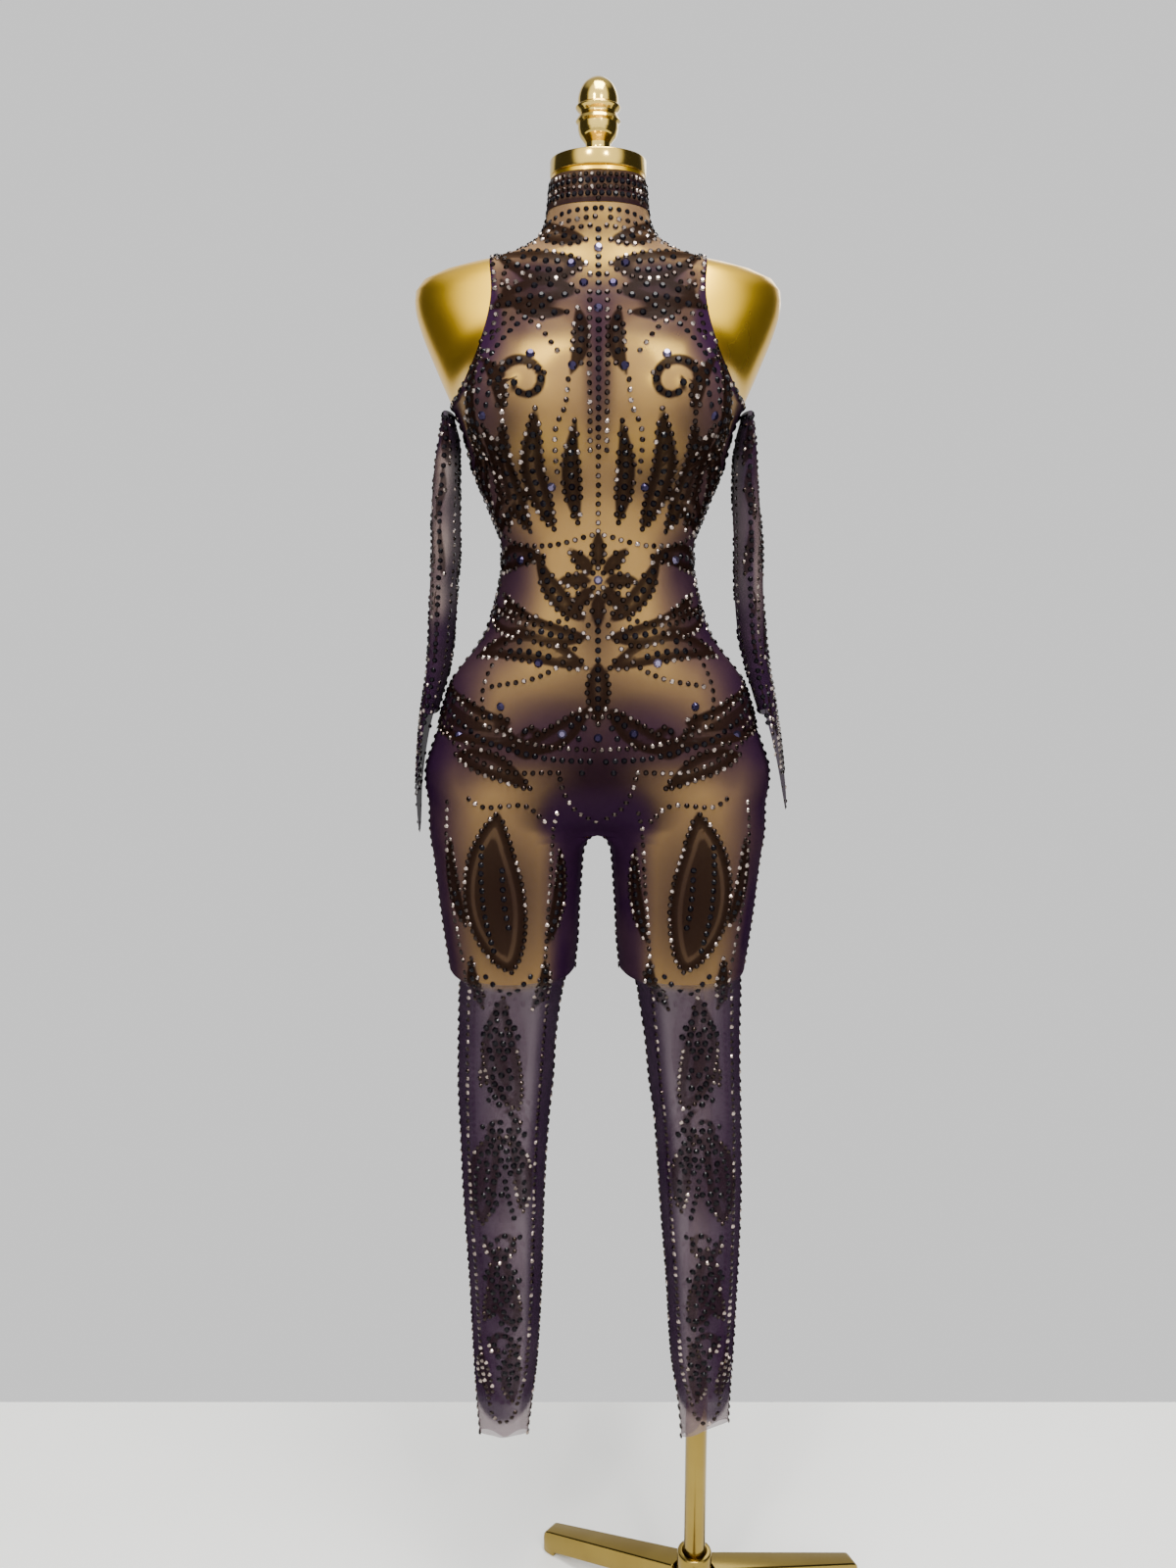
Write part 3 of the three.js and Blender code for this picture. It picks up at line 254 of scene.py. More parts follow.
class Skin:
    """The form's smooth skin, and below its thighs the line of the empty hanging legs."""

    def __init__(self) -> None:
        """Reads the tables of sections."""
        self.torso = table_curves(TORSO)
        self.thigh = table_curves(THIGH)
        self.legs = {side: table_curves([*THIGH, *rows]) for side, rows in LOWER_LEG.items()}
        self.cast_axis = pair_curve(CAST_AXIS)
        self.rise = pair_curve(ROW_RISE)
        self.crotch = self._crotch_level()

    @staticmethod
    def _section(
        x: np.ndarray, y: np.ndarray, curves: dict[str, Curve], z: np.ndarray, power: float
    ) -> np.ndarray:
        """Returns the distance from points to a section's edge, along the way out from its centre."""
        half, depth = curves["half"](z), np.where(y < 0, curves["front"](z), curves["back"](z))
        share = (np.abs(x / half) ** power + np.abs(y / depth) ** power) ** (1 / power)
        return np.where(share < 1e-6, -half, np.hypot(x, y) * (1 - 1 / np.maximum(share, 1e-6)))

    def distance(self, x: np.ndarray, y: np.ndarray, z: np.ndarray, side: Side) -> np.ndarray:
        """Returns the rough signed distance from points to the skin, negative inside."""
        x, y, z = np.broadcast_arrays(np.asarray(x, float), np.asarray(y, float), np.asarray(z, float))
        leg = self.legs[side]
        hanging = self._section(x * side.value - leg["centre"](z), y, leg, z, 2.0)
        in_thigh = self._section(np.hypot(x, LEG_ROUND) - self.thigh["centre"](z), y, self.thigh, z, 2.0)
        in_torso = np.maximum(self._section(x, y, self.torso, z, 2.2), CROTCH_END - z)
        blend = LEG_BLEND * np.clip((LEG_JOIN - z) / 40, 0, 1) + 0.01
        lower = soft_min(in_torso, in_thigh, blend)
        offset = [np.abs(x) - BUST_CENTRE[0], y - BUST_CENTRE[1], z - BUST_CENTRE[2]]
        share = np.sqrt(sum((d / r) ** 2 for d, r in zip(offset, BUST_RADII)))
        reach = np.sqrt(sum(d**2 for d in offset))
        in_bust = np.where(share < 1e-6, -50.0, reach * (1 - 1 / np.maximum(share, 1e-6)))
        above = np.where(z < LEG_JOIN, lower, soft_min(in_torso, in_bust, BUST_BLEND))
        above = np.where(z < CROTCH_END - LEG_BLEND, in_thigh, above)
        return np.where(z < THIGH_END, hanging, above)

    def normal(self, p: np.ndarray, side: Side) -> np.ndarray:
        """Returns the skin's outward directions at points of shape (..., 3)."""
        x, y, z = p[..., 0], p[..., 1], p[..., 2]
        h = 0.5
        low = np.where((z - h < THIGH_END) & (z >= THIGH_END), 0.0, -h)
        gradient = np.stack(
            [
                (self.distance(x + h, y, z, side) - self.distance(x - h, y, z, side)) / (2 * h),
                (self.distance(x, y + h, z, side) - self.distance(x, y - h, z, side)) / (2 * h),
                (self.distance(x, y, z + h, side) - self.distance(x, y, z + low, side)) / (h - low),
            ],
            axis=-1,
        )
        return gradient / np.linalg.norm(gradient, axis=-1, keepdims=True)

    def _crotch_level(self) -> float:
        """Returns the level of the crotch's lowest point, on the centre plane."""
        low, high = CROTCH_END - LEG_BLEND, CROTCH_END + LEG_BLEND
        for _ in range(40):
            middle = (low + high) / 2
            if self.distance(0, 0, middle, Side.LEFT) > 0:
                low = middle
            else:
                high = middle
        return high

    def axis(self, level: np.ndarray, side: Side) -> np.ndarray:
        """Returns how far from the centre plane each level's rays start."""
        upper = np.where(level < self.crotch, self.thigh["centre"](level), self.cast_axis(level))
        return np.where(level < THIGH_END, self.legs[side]["centre"](level), upper)

    def centre_angle(self, level: np.ndarray, side: Side, facing: Facing) -> np.ndarray:
        """Returns the angle of each level's ray to the centre plane, or half a turn below the crotch."""
        axis = self.cast_axis(level)
        low, high = np.zeros_like(level), np.full_like(level, REACH_LIMIT)
        for _ in range(36):
            middle = (low + high) / 2
            slant = self.rise(level) * np.hypot(middle, axis)
            out = self.distance(0 * middle, middle * facing.value, level + slant, side) > 0
            low, high = np.where(out, low, middle), np.where(out, middle, high)
        return np.where(level < self.crotch, math.pi, math.pi - np.arctan2(low, axis))

    def cast(self, level: np.ndarray, angle: np.ndarray, side: Side, facing: Facing) -> np.ndarray:
        """Returns the skin's points on rays cast from each level's axis.

        Args:
            level: levels of the rows.
            angle: angles from the side, towards the front or the back, of the same shape.
            side: the wearer's side.
            facing: front or back.

        Returns:
            Points of shape (..., 3), in millimetres.
        """
        axis, rise = self.axis(level, side), self.rise(level)
        across, along = np.cos(angle), np.sin(angle) * facing.value
        centre_reach = np.where(across < -1e-6, axis / np.maximum(-across, 1e-6), REACH_LIMIT)
        inside, outside = np.zeros_like(angle), np.minimum(REACH_LIMIT, centre_reach)
        for _ in range(30):
            middle = (inside + outside) / 2
            x = side.value * (axis + across * middle)
            out = self.distance(x, along * middle, level + rise * middle, side) > 0
            inside, outside = np.where(out, inside, middle), np.where(out, middle, outside)
        x, y = side.value * (axis + across * inside), along * inside
        points = np.stack([x, y, level + rise * inside], axis=-1)
        fade = np.clip(1 - (level - HEM_LEVEL[side]) / HEM_FADE, 0, 1)
        lift = HEM_TILT[side] * across - HEM_DIP[side] * along - HEM_SAG[side] * along**2
        points[..., 2] += lift * np.where(level < THIGH_END, fade, 0)
        return points


def body_levels(skin: Skin, top: float, bottom: float, pitch: float) -> np.ndarray:
    """Returns the levels of a grid's rows, closer together at the crotch and at the thigh's end."""
    marks = [top]
    for level, step in (
        (UNDERARM + 10, pitch), (UNDERARM, 0.8), (skin.crotch + 9, pitch), (skin.crotch - 16, 1.5),
        (THIGH_END, pitch), (THIGH_END - 40, 3.0), (bottom, pitch * 1.2),
    ):
        level = max(level, bottom)
        if level < marks[-1]:
            count = max(1, math.ceil((marks[-1] - level) / step))
            marks += list(np.linspace(marks[-1], level, count + 1)[1:])
    return np.array(marks)


class Fold(NamedTuple):
    """A soft trough in hanging cloth: where it is deepest, how far it runs and how deep it is."""

    z: float
    angle: float
    run: float
    spread: float
    depth: float
    slant: float


LEG_FOLDS = [
    Fold(700, 1.15, 120, 0.28, 3.0, -0.0012), Fold(560, 1.75, 110, 0.3, 3.4, 0.0016),
    Fold(430, 1.2, 90, 0.32, 3.2, -0.002), Fold(610, 2.35, 90, 0.25, 2.4, 0.001),
    Fold(350, 1.95, 60, 0.4, 3.0, 0.0022), Fold(770, 2.1, 60, 0.3, 2.0, 0.002),
    Fold(500, 0.7, 100, 0.25, 2.0, 0.001), Fold(660, 0.6, 80, 0.2, 1.6, -0.001),
]


def fold_depth(folds: Sequence[Fold], z: np.ndarray, angle: np.ndarray) -> np.ndarray:
    """Returns how far a sheet sinks inwards at each point because of its folds."""
    sink = np.zeros_like(z)
    for f in folds:
        along = np.exp(-(((z - f.z) / f.run) ** 2))
        around = np.exp(-(((angle - f.angle - f.slant * (z - f.z)) / f.spread) ** 2))
        sink += f.depth * along * around
    return sink


class Quarter:
    """A fine grid over one quarter of the body, its rows running from the side to the centre."""

    def __init__(
        self, skin: Skin, side: Side, facing: Facing, levels: np.ndarray, columns: int, offset: float,
        cut_arm: bool = False, folds: Sequence[Fold] = (),
    ) -> None:
        """Args:
            skin: the skin to lie on.
            side: the wearer's side.
            facing: front or back.
            levels: the rows' levels, from the top down.
            columns: the number of cells in a row.
            offset: how far the grid lies outside the skin.
            cut_arm: whether rows start at the armhole's edge where there is one.
            folds: troughs in the hanging leg.
        """
        self.side, self.facing, self.levels, self.skin = side, facing, levels, skin
        end = skin.centre_angle(levels, side, facing)
        start = self._arm_start(end) if cut_arm else np.zeros_like(end)
        even = end[:, None] * np.linspace(0, 1, columns + 1)
        reach = np.clip(2.2 * start, 1e-3, end)[:, None]
        self.angle = even + start[:, None] * np.clip(1 - even / reach, 0, 1) ** 1.4
        level = np.repeat(levels[:, None], columns + 1, axis=1)
        points = skin.cast(level, self.angle, side, facing)
        self.normals = skin.normal(points, side)
        on_centre = levels >= skin.crotch
        points[on_centre, -1, 0] = 0
        self.normals[on_centre, -1, 0] = 0
        self.normals /= np.linalg.norm(self.normals, axis=-1, keepdims=True)
        hanging = smooth_step(0, 40, THIGH_END - points[..., 2])
        sink = fold_depth(folds, points[..., 2], self.angle) * hanging * np.sin(self.angle) ** 2
        self.points = points + self.normals * (offset - sink)[..., None]
        step = np.linalg.norm(np.diff(self.points, axis=1), axis=-1)
        arc = np.concatenate([np.zeros((len(levels), 1)), np.cumsum(step, axis=1)], axis=1)
        half_turn = np.array([np.interp(math.pi / 2, a, b) for a, b in zip(self.angle, arc)])
        self.side_arc = arc
        self.torso_s = arc[:, -1:] - arc
        self.leg_s = half_turn[:, None] - arc

    def _arm_start(self, end: np.ndarray) -> np.ndarray:
        """Returns the angle at which each row meets the armhole's edge, or 0 where the row has none."""
        edge = pair_curve(ARMHOLE[self.facing])
        low, high = np.zeros_like(end), end.copy()

        def in_hole(angle: np.ndarray) -> np.ndarray:
            p = self.skin.cast(self.levels, angle, self.side, self.facing)
            return (p[..., 2] > UNDERARM) & (np.abs(p[..., 0]) > edge(p[..., 2]))

        cut = in_hole(low)
        for _ in range(22):
            middle = (low + high) / 2
            inside = in_hole(middle)
            low, high = np.where(inside, middle, low), np.where(inside, high, middle)
        return np.where(cut, high, 0.0)

    def locate(self, s: float, z: float, on_leg: bool) -> tuple[np.ndarray, np.ndarray] | None:
        """Finds a place of the pattern on the cloth.

        Args:
            s: arc length from the centre line, or from the leg's own centre line.
            z: level.
            on_leg: whether s is measured on the leg.

        Returns:
            The point and its outward direction, or None where the panel doesn't reach.
        """
        rows = self.leg_s if on_leg else self.torso_s
        last = len(self.levels) - 2
        r = float(np.interp(-z, -self.levels, np.arange(len(self.levels))))
        for _ in range(5):
            i = int(min(max(math.floor(r), 0), last))
            f = min(max(r - i, 0.0), 1.0)
            found = []
            for k in (i, i + 1):
                row = rows[k]
                if not row[-1] - 0.3 <= s <= row[0] + 0.3:
                    return None
                c = float(np.interp(s, row[::-1], np.arange(len(row))[::-1]))
                j = int(min(c, len(row) - 2))
                blend = c - j
                point = self.points[k, j] * (1 - blend) + self.points[k, j + 1] * blend
                normal = self.normals[k, j] * (1 - blend) + self.normals[k, j + 1] * blend
                found.append((point, normal))
            point = found[0][0] * (1 - f) + found[1][0] * f
            normal = found[0][1] * (1 - f) + found[1][1] * f
            miss = point[2] - z
            if abs(miss) < 0.4:
                break
            r += miss / max(self.levels[i] - self.levels[i + 1], 0.5)
            if not 0 <= r <= last + 1:
                return None
        return point, normal / np.linalg.norm(normal)


# The printed design: leaves and scrolls in pattern millimetres, s across and z up


def band_edge(spine: np.ndarray, half_width: Callable[[np.ndarray], np.ndarray]) -> np.ndarray:
    """Returns the closed edge of a band round a spine.

    Args:
        spine: shape (n, 2).
        half_width: gives the half width at shares 0 to 1 of the way along.
    """
    tangent = np.gradient(spine, axis=0)
    tangent /= np.linalg.norm(tangent, axis=1, keepdims=True)
    aside = np.stack([tangent[:, 1], -tangent[:, 0]], axis=-1)
    half = half_width(np.linspace(0, 1, len(spine)))[:, None]
    return np.concatenate([spine + aside * half, (spine - aside * half)[-2:0:-1]])


@dataclass(frozen=True)
class Leaf:
    """A pointed leaf that grows from its foot, bends to one side and may carry a row of stones inside."""

    s: float
    z: float
    length: float
    width: float
    turn: float  # degrees from straight up, towards the side
    bend: float = 0.0
    ribbed: bool = True

    def spine(self, count: int = 15) -> np.ndarray:
        """Returns points along the leaf's middle."""
        t = np.linspace(0, 1, count)
        a = math.radians(self.turn)
        along, across = t * self.length, self.bend * np.sin(np.pi * t)
        s = self.s + along * math.sin(a) + across * math.cos(a)
        z = self.z + along * math.cos(a) - across * math.sin(a)
        return np.stack([s, z], axis=-1)

    def outline(self) -> np.ndarray:
        """Returns the closed edge of the leaf."""
        return band_edge(self.spine(21), lambda t: self.width / 2 * np.sin(np.pi * t**0.85) ** 0.8)

    def ribs(self) -> list[np.ndarray]:
        """Returns the paths of the stones inside the leaf: one, or two in a wide leaf."""
        if not self.ribbed:
            return []
        spine = self.spine()[2:-3]
        if self.width < WIDE_LEAF:
            return [spine]
        a = math.radians(self.turn)
        aside = np.array([math.cos(a), -math.sin(a)]) * self.width * 0.17
        return [spine + aside, spine[2:-2] - aside]


@dataclass(frozen=True)
class Scroll:
    """A band that curls inwards and narrows as it goes."""

    s: float
    z: float
    radius: float
    turns: float
    width: float
    turn: float = 0.0
    hand: int = 1
    ribbed: bool = True

    def spine(self, count: int = 26) -> np.ndarray:
        """Returns points along the band's middle."""
        t = np.linspace(0, 1, count)
        a = math.radians(self.turn) + self.hand * t * self.turns * 2 * np.pi
        r = self.radius * (1 - 0.72 * t**0.8)
        return np.stack([self.s + r * np.sin(a), self.z + r * np.cos(a)], axis=-1)

    def outline(self) -> np.ndarray:
        """Returns the closed edge of the band."""
        return band_edge(
            self.spine(34), lambda t: self.width / 2 * np.minimum(1, 5 * t + 0.05) * (1 - t) ** 0.55
        )

    def ribs(self) -> list[np.ndarray]:
        """Returns the path of the stones along the band."""
        return [self.spine()[2:-3]] if self.ribbed else []


Motif = Leaf | Scroll

FRONT_TORSO: list[Motif] = [
    Leaf(12, 1580, 80, 20, 66, 6), Leaf(12, 1556, 96, 30, 80, 9), Leaf(20, 1528, 86, 26, 100, -8),
    Leaf(112, 1506, 150, 17, 180, -26), Leaf(20, 1512, 66, 16, 172, 8), Leaf(30, 1508, 74, 15, 62, 14),
    Scroll(74, 1440, 27, 1.2, 11, 120, -1), Leaf(96, 1412, 60, 15, 24, -8), Leaf(20, 1312, 96, 17, 2, 5),
    Leaf(44, 1306, 112, 23, 10, 10), Leaf(70, 1304, 104, 22, 14, 9), Leaf(98, 1306, 98, 21, 12, -7),
    Leaf(124, 1318, 104, 22, 4, 8), Leaf(150, 1344, 84, 18, -6, 7), Leaf(0, 1268, 36, 13, 0, 0, False),
    Leaf(5, 1263, 34, 13, 45, 0, False), Leaf(7, 1256, 34, 13, 90, 0, False),
    Leaf(5, 1249, 34, 13, 135, 0, False), Leaf(0, 1244, 36, 13, 180, 0, False),
    Leaf(128, 1300, 78, 24, -58, 9), Leaf(132, 1264, 80, 25, -80, 9), Leaf(136, 1228, 84, 24, -100, -8),
    Leaf(12, 1216, 84, 19, 38, 8), Leaf(10, 1200, 110, 24, 66, 15), Leaf(12, 1170, 128, 28, 86, -16),
    Leaf(194, 1150, 112, 36, -108, -15), Leaf(200, 1108, 126, 38, -98, 12), Leaf(0, 1176, 62, 22, 180, 0),
    Leaf(10, 1130, 92, 24, 118, 11), Leaf(176, 1204, 80, 22, -40, 8), Leaf(150, 1080, 88, 24, -112, 8),
    Scroll(70, 1098, 20, 1.15, 10, 90, 1),
]
BACK_TORSO: list[Motif] = [
    Leaf(22, 1562, 84, 26, 66, 8), Leaf(24, 1524, 92, 26, 96, -8), Scroll(56, 1468, 32, 1.2, 13, 20, 1),
    Leaf(104, 1500, 120, 20, 180, -16), Leaf(28, 1390, 90, 20, 14, 12), Leaf(66, 1384, 90, 22, 10, -8),
    Leaf(104, 1390, 84, 20, -8, -10), Leaf(24, 1310, 72, 18, 6, -6), Leaf(58, 1300, 84, 20, 14, 8),
    Leaf(94, 1306, 80, 20, 8, 6), Leaf(126, 1290, 78, 24, -60, 9), Leaf(130, 1252, 80, 25, -84, 9),
    Leaf(26, 1262, 56, 18, 40, 6), Leaf(24, 1206, 110, 24, 70, -12), Leaf(24, 1166, 130, 28, 92, -14),
    Leaf(196, 1150, 110, 34, -104, -13), Leaf(24, 1116, 120, 26, 104, 12), Leaf(200, 1100, 120, 34, -96, 12),
    Leaf(30, 1062, 90, 22, 90, 5), Leaf(160, 1062, 84, 22, -110, -8),
]
LEG: list[Motif] = [
    Leaf(-4, 852, 172, 66, 3, 12), Leaf(46, 900, 96, 18, 8, 9), Leaf(-46, 880, 104, 18, -10, -8),
    Leaf(28, 806, 60, 17, 12, 6), Leaf(-28, 804, 60, 17, -12, -6),
    Leaf(-18, 690, 134, 40, 10, 12), Leaf(26, 716, 96, 24, -10, -8), Scroll(2, 668, 23, 1.15, 12, 0, -1),
    Leaf(22, 552, 116, 38, -10, 11), Leaf(-25, 566, 96, 22, 10, -8), Scroll(0, 530, 21, 1.1, 11, 60, 1),
    Leaf(-16, 424, 104, 34, 10, 9), Leaf(23, 432, 86, 20, -10, -7), Scroll(0, 404, 18, 1.1, 10, 200, -1),
    Leaf(-10, 322, 84, 22, -4, 5), Leaf(14, 330, 66, 17, 12, 5),
]
SLEEVE_MOTIFS: list[Motif] = [
    Leaf(-8, 1372, 44, 13, 10, 4), Leaf(12, 1318, 54, 15, -12, -5), Leaf(-10, 1262, 54, 15, 12, 5),
    Scroll(6, 1232, 14, 1.1, 8, 0, 1), Leaf(12, 1168, 52, 14, -14, -5), Leaf(-8, 1112, 50, 14, 14, 5),
    Leaf(44, 1350, 60, 16, 8, 6), Leaf(46, 1262, 64, 16, -8, -6), Leaf(44, 1176, 62, 16, 8, 6),
    Leaf(46, 1098, 54, 14, -6, -4), Leaf(-50, 1330, 60, 16, 8, 6), Leaf(-48, 1236, 62, 16, -8, 5),
    Leaf(-50, 1150, 58, 15, 6, -5),
]


class Veil(NamedTuple):
    """A soft patch of dye: its middle, how far it spreads across and up, and its strength."""

    s: float
    z: float
    across: float
    up: float
    strength: float


PURPLE_FRONT = [
    Veil(0, 1522, 76, 20, 0.5), Veil(60, 1550, 48, 15, 0.7), Veil(42, 1494, 50, 18, 0.5),
    Veil(0, 1440, 18, 70, 0.4), Veil(104, 1262, 42, 50, 0.88), Veil(112, 1200, 40, 40, 0.66),
    Veil(56, 1106, 70, 36, 0.55), Veil(124, 1450, 28, 60, 0.66), Veil(116, 1350, 28, 60, 0.5),
    Veil(150, 1060, 40, 40, 0.45),
]
PURPLE_BACK = [
    Veil(30, 1530, 70, 20, 0.45), Veil(104, 1262, 44, 48, 0.8), Veil(60, 1120, 90, 44, 0.5),
    Veil(20, 1400, 24, 70, 0.3),
]
UMBER_FRONT = [
    Veil(0, 1048, 56, 70, 0.97), Veil(0, 1010, 76, 34, 0.9), Veil(0, 1132, 104, 34, 0.45),
    Veil(62, 1532, 50, 18, 0.66), Veil(104, 1082, 74, 26, 0.6), Veil(0, 1212, 26, 44, 0.45),
    Veil(0, 1470, 15, 74, 0.6), Veil(70, 1350, 70, 22, 0.4), Veil(0, 1592, 96, 18, 0.35),
    Veil(84, 1500, 30, 30, 0.5), Veil(96, 1404, 26, 34, 0.45),
]
UMBER_BACK = [
    Veil(0, 1040, 64, 64, 0.92), Veil(30, 1120, 100, 34, 0.5), Veil(40, 1470, 70, 26, 0.4),
    Veil(30, 1340, 70, 26, 0.35),
]
UMBER_LEG = [
    Veil(0, 930, 58, 90, 0.62), Veil(0, 740, 24, 54, 0.5), Veil(0, 600, 22, 50, 0.5), Veil(0, 460, 20, 48, 0.5),
]


def veil_at(veils: Sequence[Veil], s: np.ndarray, z: np.ndarray) -> np.ndarray:
    """Returns the share of dye, 0 to 1, that a list of veils leaves at each point."""
    clear = np.ones_like(z)
    for v in veils:
        clear *= 1 - v.strength * np.exp(-(((np.abs(s) - v.s) / v.across) ** 2) - ((z - v.z) / v.up) ** 2)
    return 1 - clear


def flatten(grids: Iterable[np.ndarray]) -> np.ndarray:
    """Returns all numbers of some grids in one row."""
    return np.concatenate([grid.ravel() for grid in grids])


def dyed(share: np.ndarray) -> np.ndarray:
    """Returns the mix of dye that looks as deep as its share, because dye darkens by a ratio."""
    return 1 - (1 - np.clip(share, 0, 1)) ** 2.2


def inside_distance(points: np.ndarray, polygon: np.ndarray) -> np.ndarray:
    """Returns each point's distance to a closed outline, positive inside.

    Args:
        points: shape (n, 2).
        polygon: the outline's corners, shape (m, 2).
    """
    a, b = polygon, np.roll(polygon, -1, axis=0)
    edge = b - a
    to_point = points[:, None, :] - a[None]
    t = np.clip((to_point * edge).sum(-1) / np.maximum((edge**2).sum(-1), 1e-9), 0, 1)
    gap = np.linalg.norm(to_point - t[..., None] * edge, axis=-1).min(axis=1)
    crosses = (a[None, :, 1] > points[:, None, 1]) != (b[None, :, 1] > points[:, None, 1])
    rise = np.where(edge[:, 1] == 0, 1e-9, edge[:, 1])
    at = a[None, :, 0] + (points[:, None, 1] - a[None, :, 1]) / rise * edge[None, :, 0]
    inside = (crosses & (points[:, None, 0] < at)).sum(axis=1) % 2 == 1
    return np.where(inside, gap, -gap)


def ink_at(motifs: Sequence[Motif], s: np.ndarray, z: np.ndarray) -> np.ndarray:
    """Returns how deep each point lies inside the printed motifs, in millimetres, negative outside."""
    ink = np.full(s.shape, NO_INK)
    for motif in motifs:
        outline = motif.outline()
        low, high = outline.min(axis=0) + NO_INK, outline.max(axis=0) - NO_INK
        near = (s > low[0]) & (s < high[0]) & (z > low[1]) & (z < high[1])
        if near.any():
            depth = inside_distance(np.stack([s[near], z[near]], axis=-1), outline)
            ink[near] = np.maximum(ink[near], depth)
    return ink


# Meshes


def row_point(p: np.ndarray) -> np.ndarray:
    """Returns points in metres of the row frame for points in millimetres of the form's frame."""
    low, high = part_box("pole")
    shift = np.array([(low.x + high.x) / 2 - POLE_X * MM, (low.y + high.y) / 2, 0.0])
    return p * MM + shift


def activate(piece: bpy.types.Object) -> None:
    """Makes a piece the only selected one."""
    if bpy.context.object and bpy.context.object.mode != "OBJECT":
        bpy.ops.object.mode_set(mode="OBJECT")
    bpy.ops.object.select_all(action="DESELECT")
    piece.select_set(True)
    bpy.context.view_layer.objects.active = piece


def link(name: str, data: bpy.types.ID) -> bpy.types.Object:
    """Makes an object of a mesh, light or camera and puts it into the scene."""
    made = bpy.data.objects.new(name, data)
    bpy.context.scene.collection.objects.link(made)
    return made


def new_piece(name: str, points: np.ndarray, faces: list) -> bpy.types.Object:
    """Makes an object of points in the form's frame.

    Args:
        name: the piece's name.
        points: shape (n, 3), in millimetres.
        faces: lists of point numbers.

    Returns:
        The linked object.
    """
    mesh = bpy.data.meshes.new(name)
    mesh.from_pydata(row_point(points).tolist(), [], faces)
    mesh.update()
    return link(name, mesh)


def set_attribute(piece: bpy.types.Object, name: str, values: np.ndarray) -> None:
    """Stores one number for each point of a piece."""
    layer = piece.data.attributes.new(name, "FLOAT", "POINT")
    layer.data.foreach_set("value", np.ascontiguousarray(values, np.float32).ravel())


def dye(
    piece: bpy.types.Object, ombre: np.ndarray, umber: np.ndarray, ink: np.ndarray, hanging: np.ndarray
) -> None:
    """Stores what the cloth's material reads: purple and brown dye, printed ink and how freely it hangs."""
    for name, values in (("ombre", ombre), ("umber", umber), ("ink", ink), ("hanging", hanging)):
        set_attribute(piece, name, values)


def set_uv(piece: bpy.types.Object, s: np.ndarray, z: np.ndarray) -> None:
    """Stores a UV map, in metres of cloth, from each point's place across and up the pattern."""
    uv = np.stack([s.ravel(), z.ravel()], axis=-1) * MM
    layer = piece.data.uv_layers.new(name="cut")
    corners = np.zeros(len(piece.data.loops), np.int32)
    piece.data.loops.foreach_get("vertex_index", corners)
    layer.data.foreach_set("uv", np.ascontiguousarray(uv[corners], np.float32).ravel())


def grid_faces(rows: int, columns: int, start: int, turned: bool, closed: bool = False) -> list:
    """Returns the four-sided faces of a grid of points."""
    i, j = np.meshgrid(np.arange(rows - 1), np.arange(columns if closed else columns - 1), indexing="ij")
    right = (j + 1) % columns
    corners = [i * columns + j, i * columns + right, (i + 1) * columns + right, (i + 1) * columns + j]
    faces = np.stack([c.ravel() for c in corners], axis=-1) + start
    return (faces[:, ::-1] if turned else faces).tolist()


def weld(piece: bpy.types.Object, reach: float = 0.00002) -> None:
    """Merges a piece's coinciding points."""
    activate(piece)
    bpy.ops.object.mode_set(mode="EDIT")
    bpy.ops.mesh.select_all(action="SELECT")
    bpy.ops.mesh.remove_doubles(threshold=reach)
    bpy.ops.object.mode_set(mode="OBJECT")


def finish_piece(
    piece: bpy.types.Object, material: bpy.types.Material, slot: str, *nodes: str
) -> bpy.types.Object:
    """Dresses a piece, lets it ride on the body and hides the nodes it stands for."""
    piece.data.materials.clear()
    piece.data.materials.append(material)
    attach(piece, BODY)
    if nodes:
        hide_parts(*nodes)
    LOG.info("%s: %d faces", piece.name, len(piece.data.polygons))
    return piece


def quarters_piece(name: str, quarters: Sequence[Quarter]) -> bpy.types.Object:
    """Joins quarter grids into one piece, welded where they meet."""
    points, faces, start = [], [], 0
    for q in quarters:
        rows, columns = q.points.shape[:2]
        points.append(q.points.reshape(-1, 3))
        faces += grid_faces(rows, columns, start, q.side.value * q.facing.value > 0)
        start += rows * columns
    return new_piece(name, np.concatenate(points), faces)


# Finishes


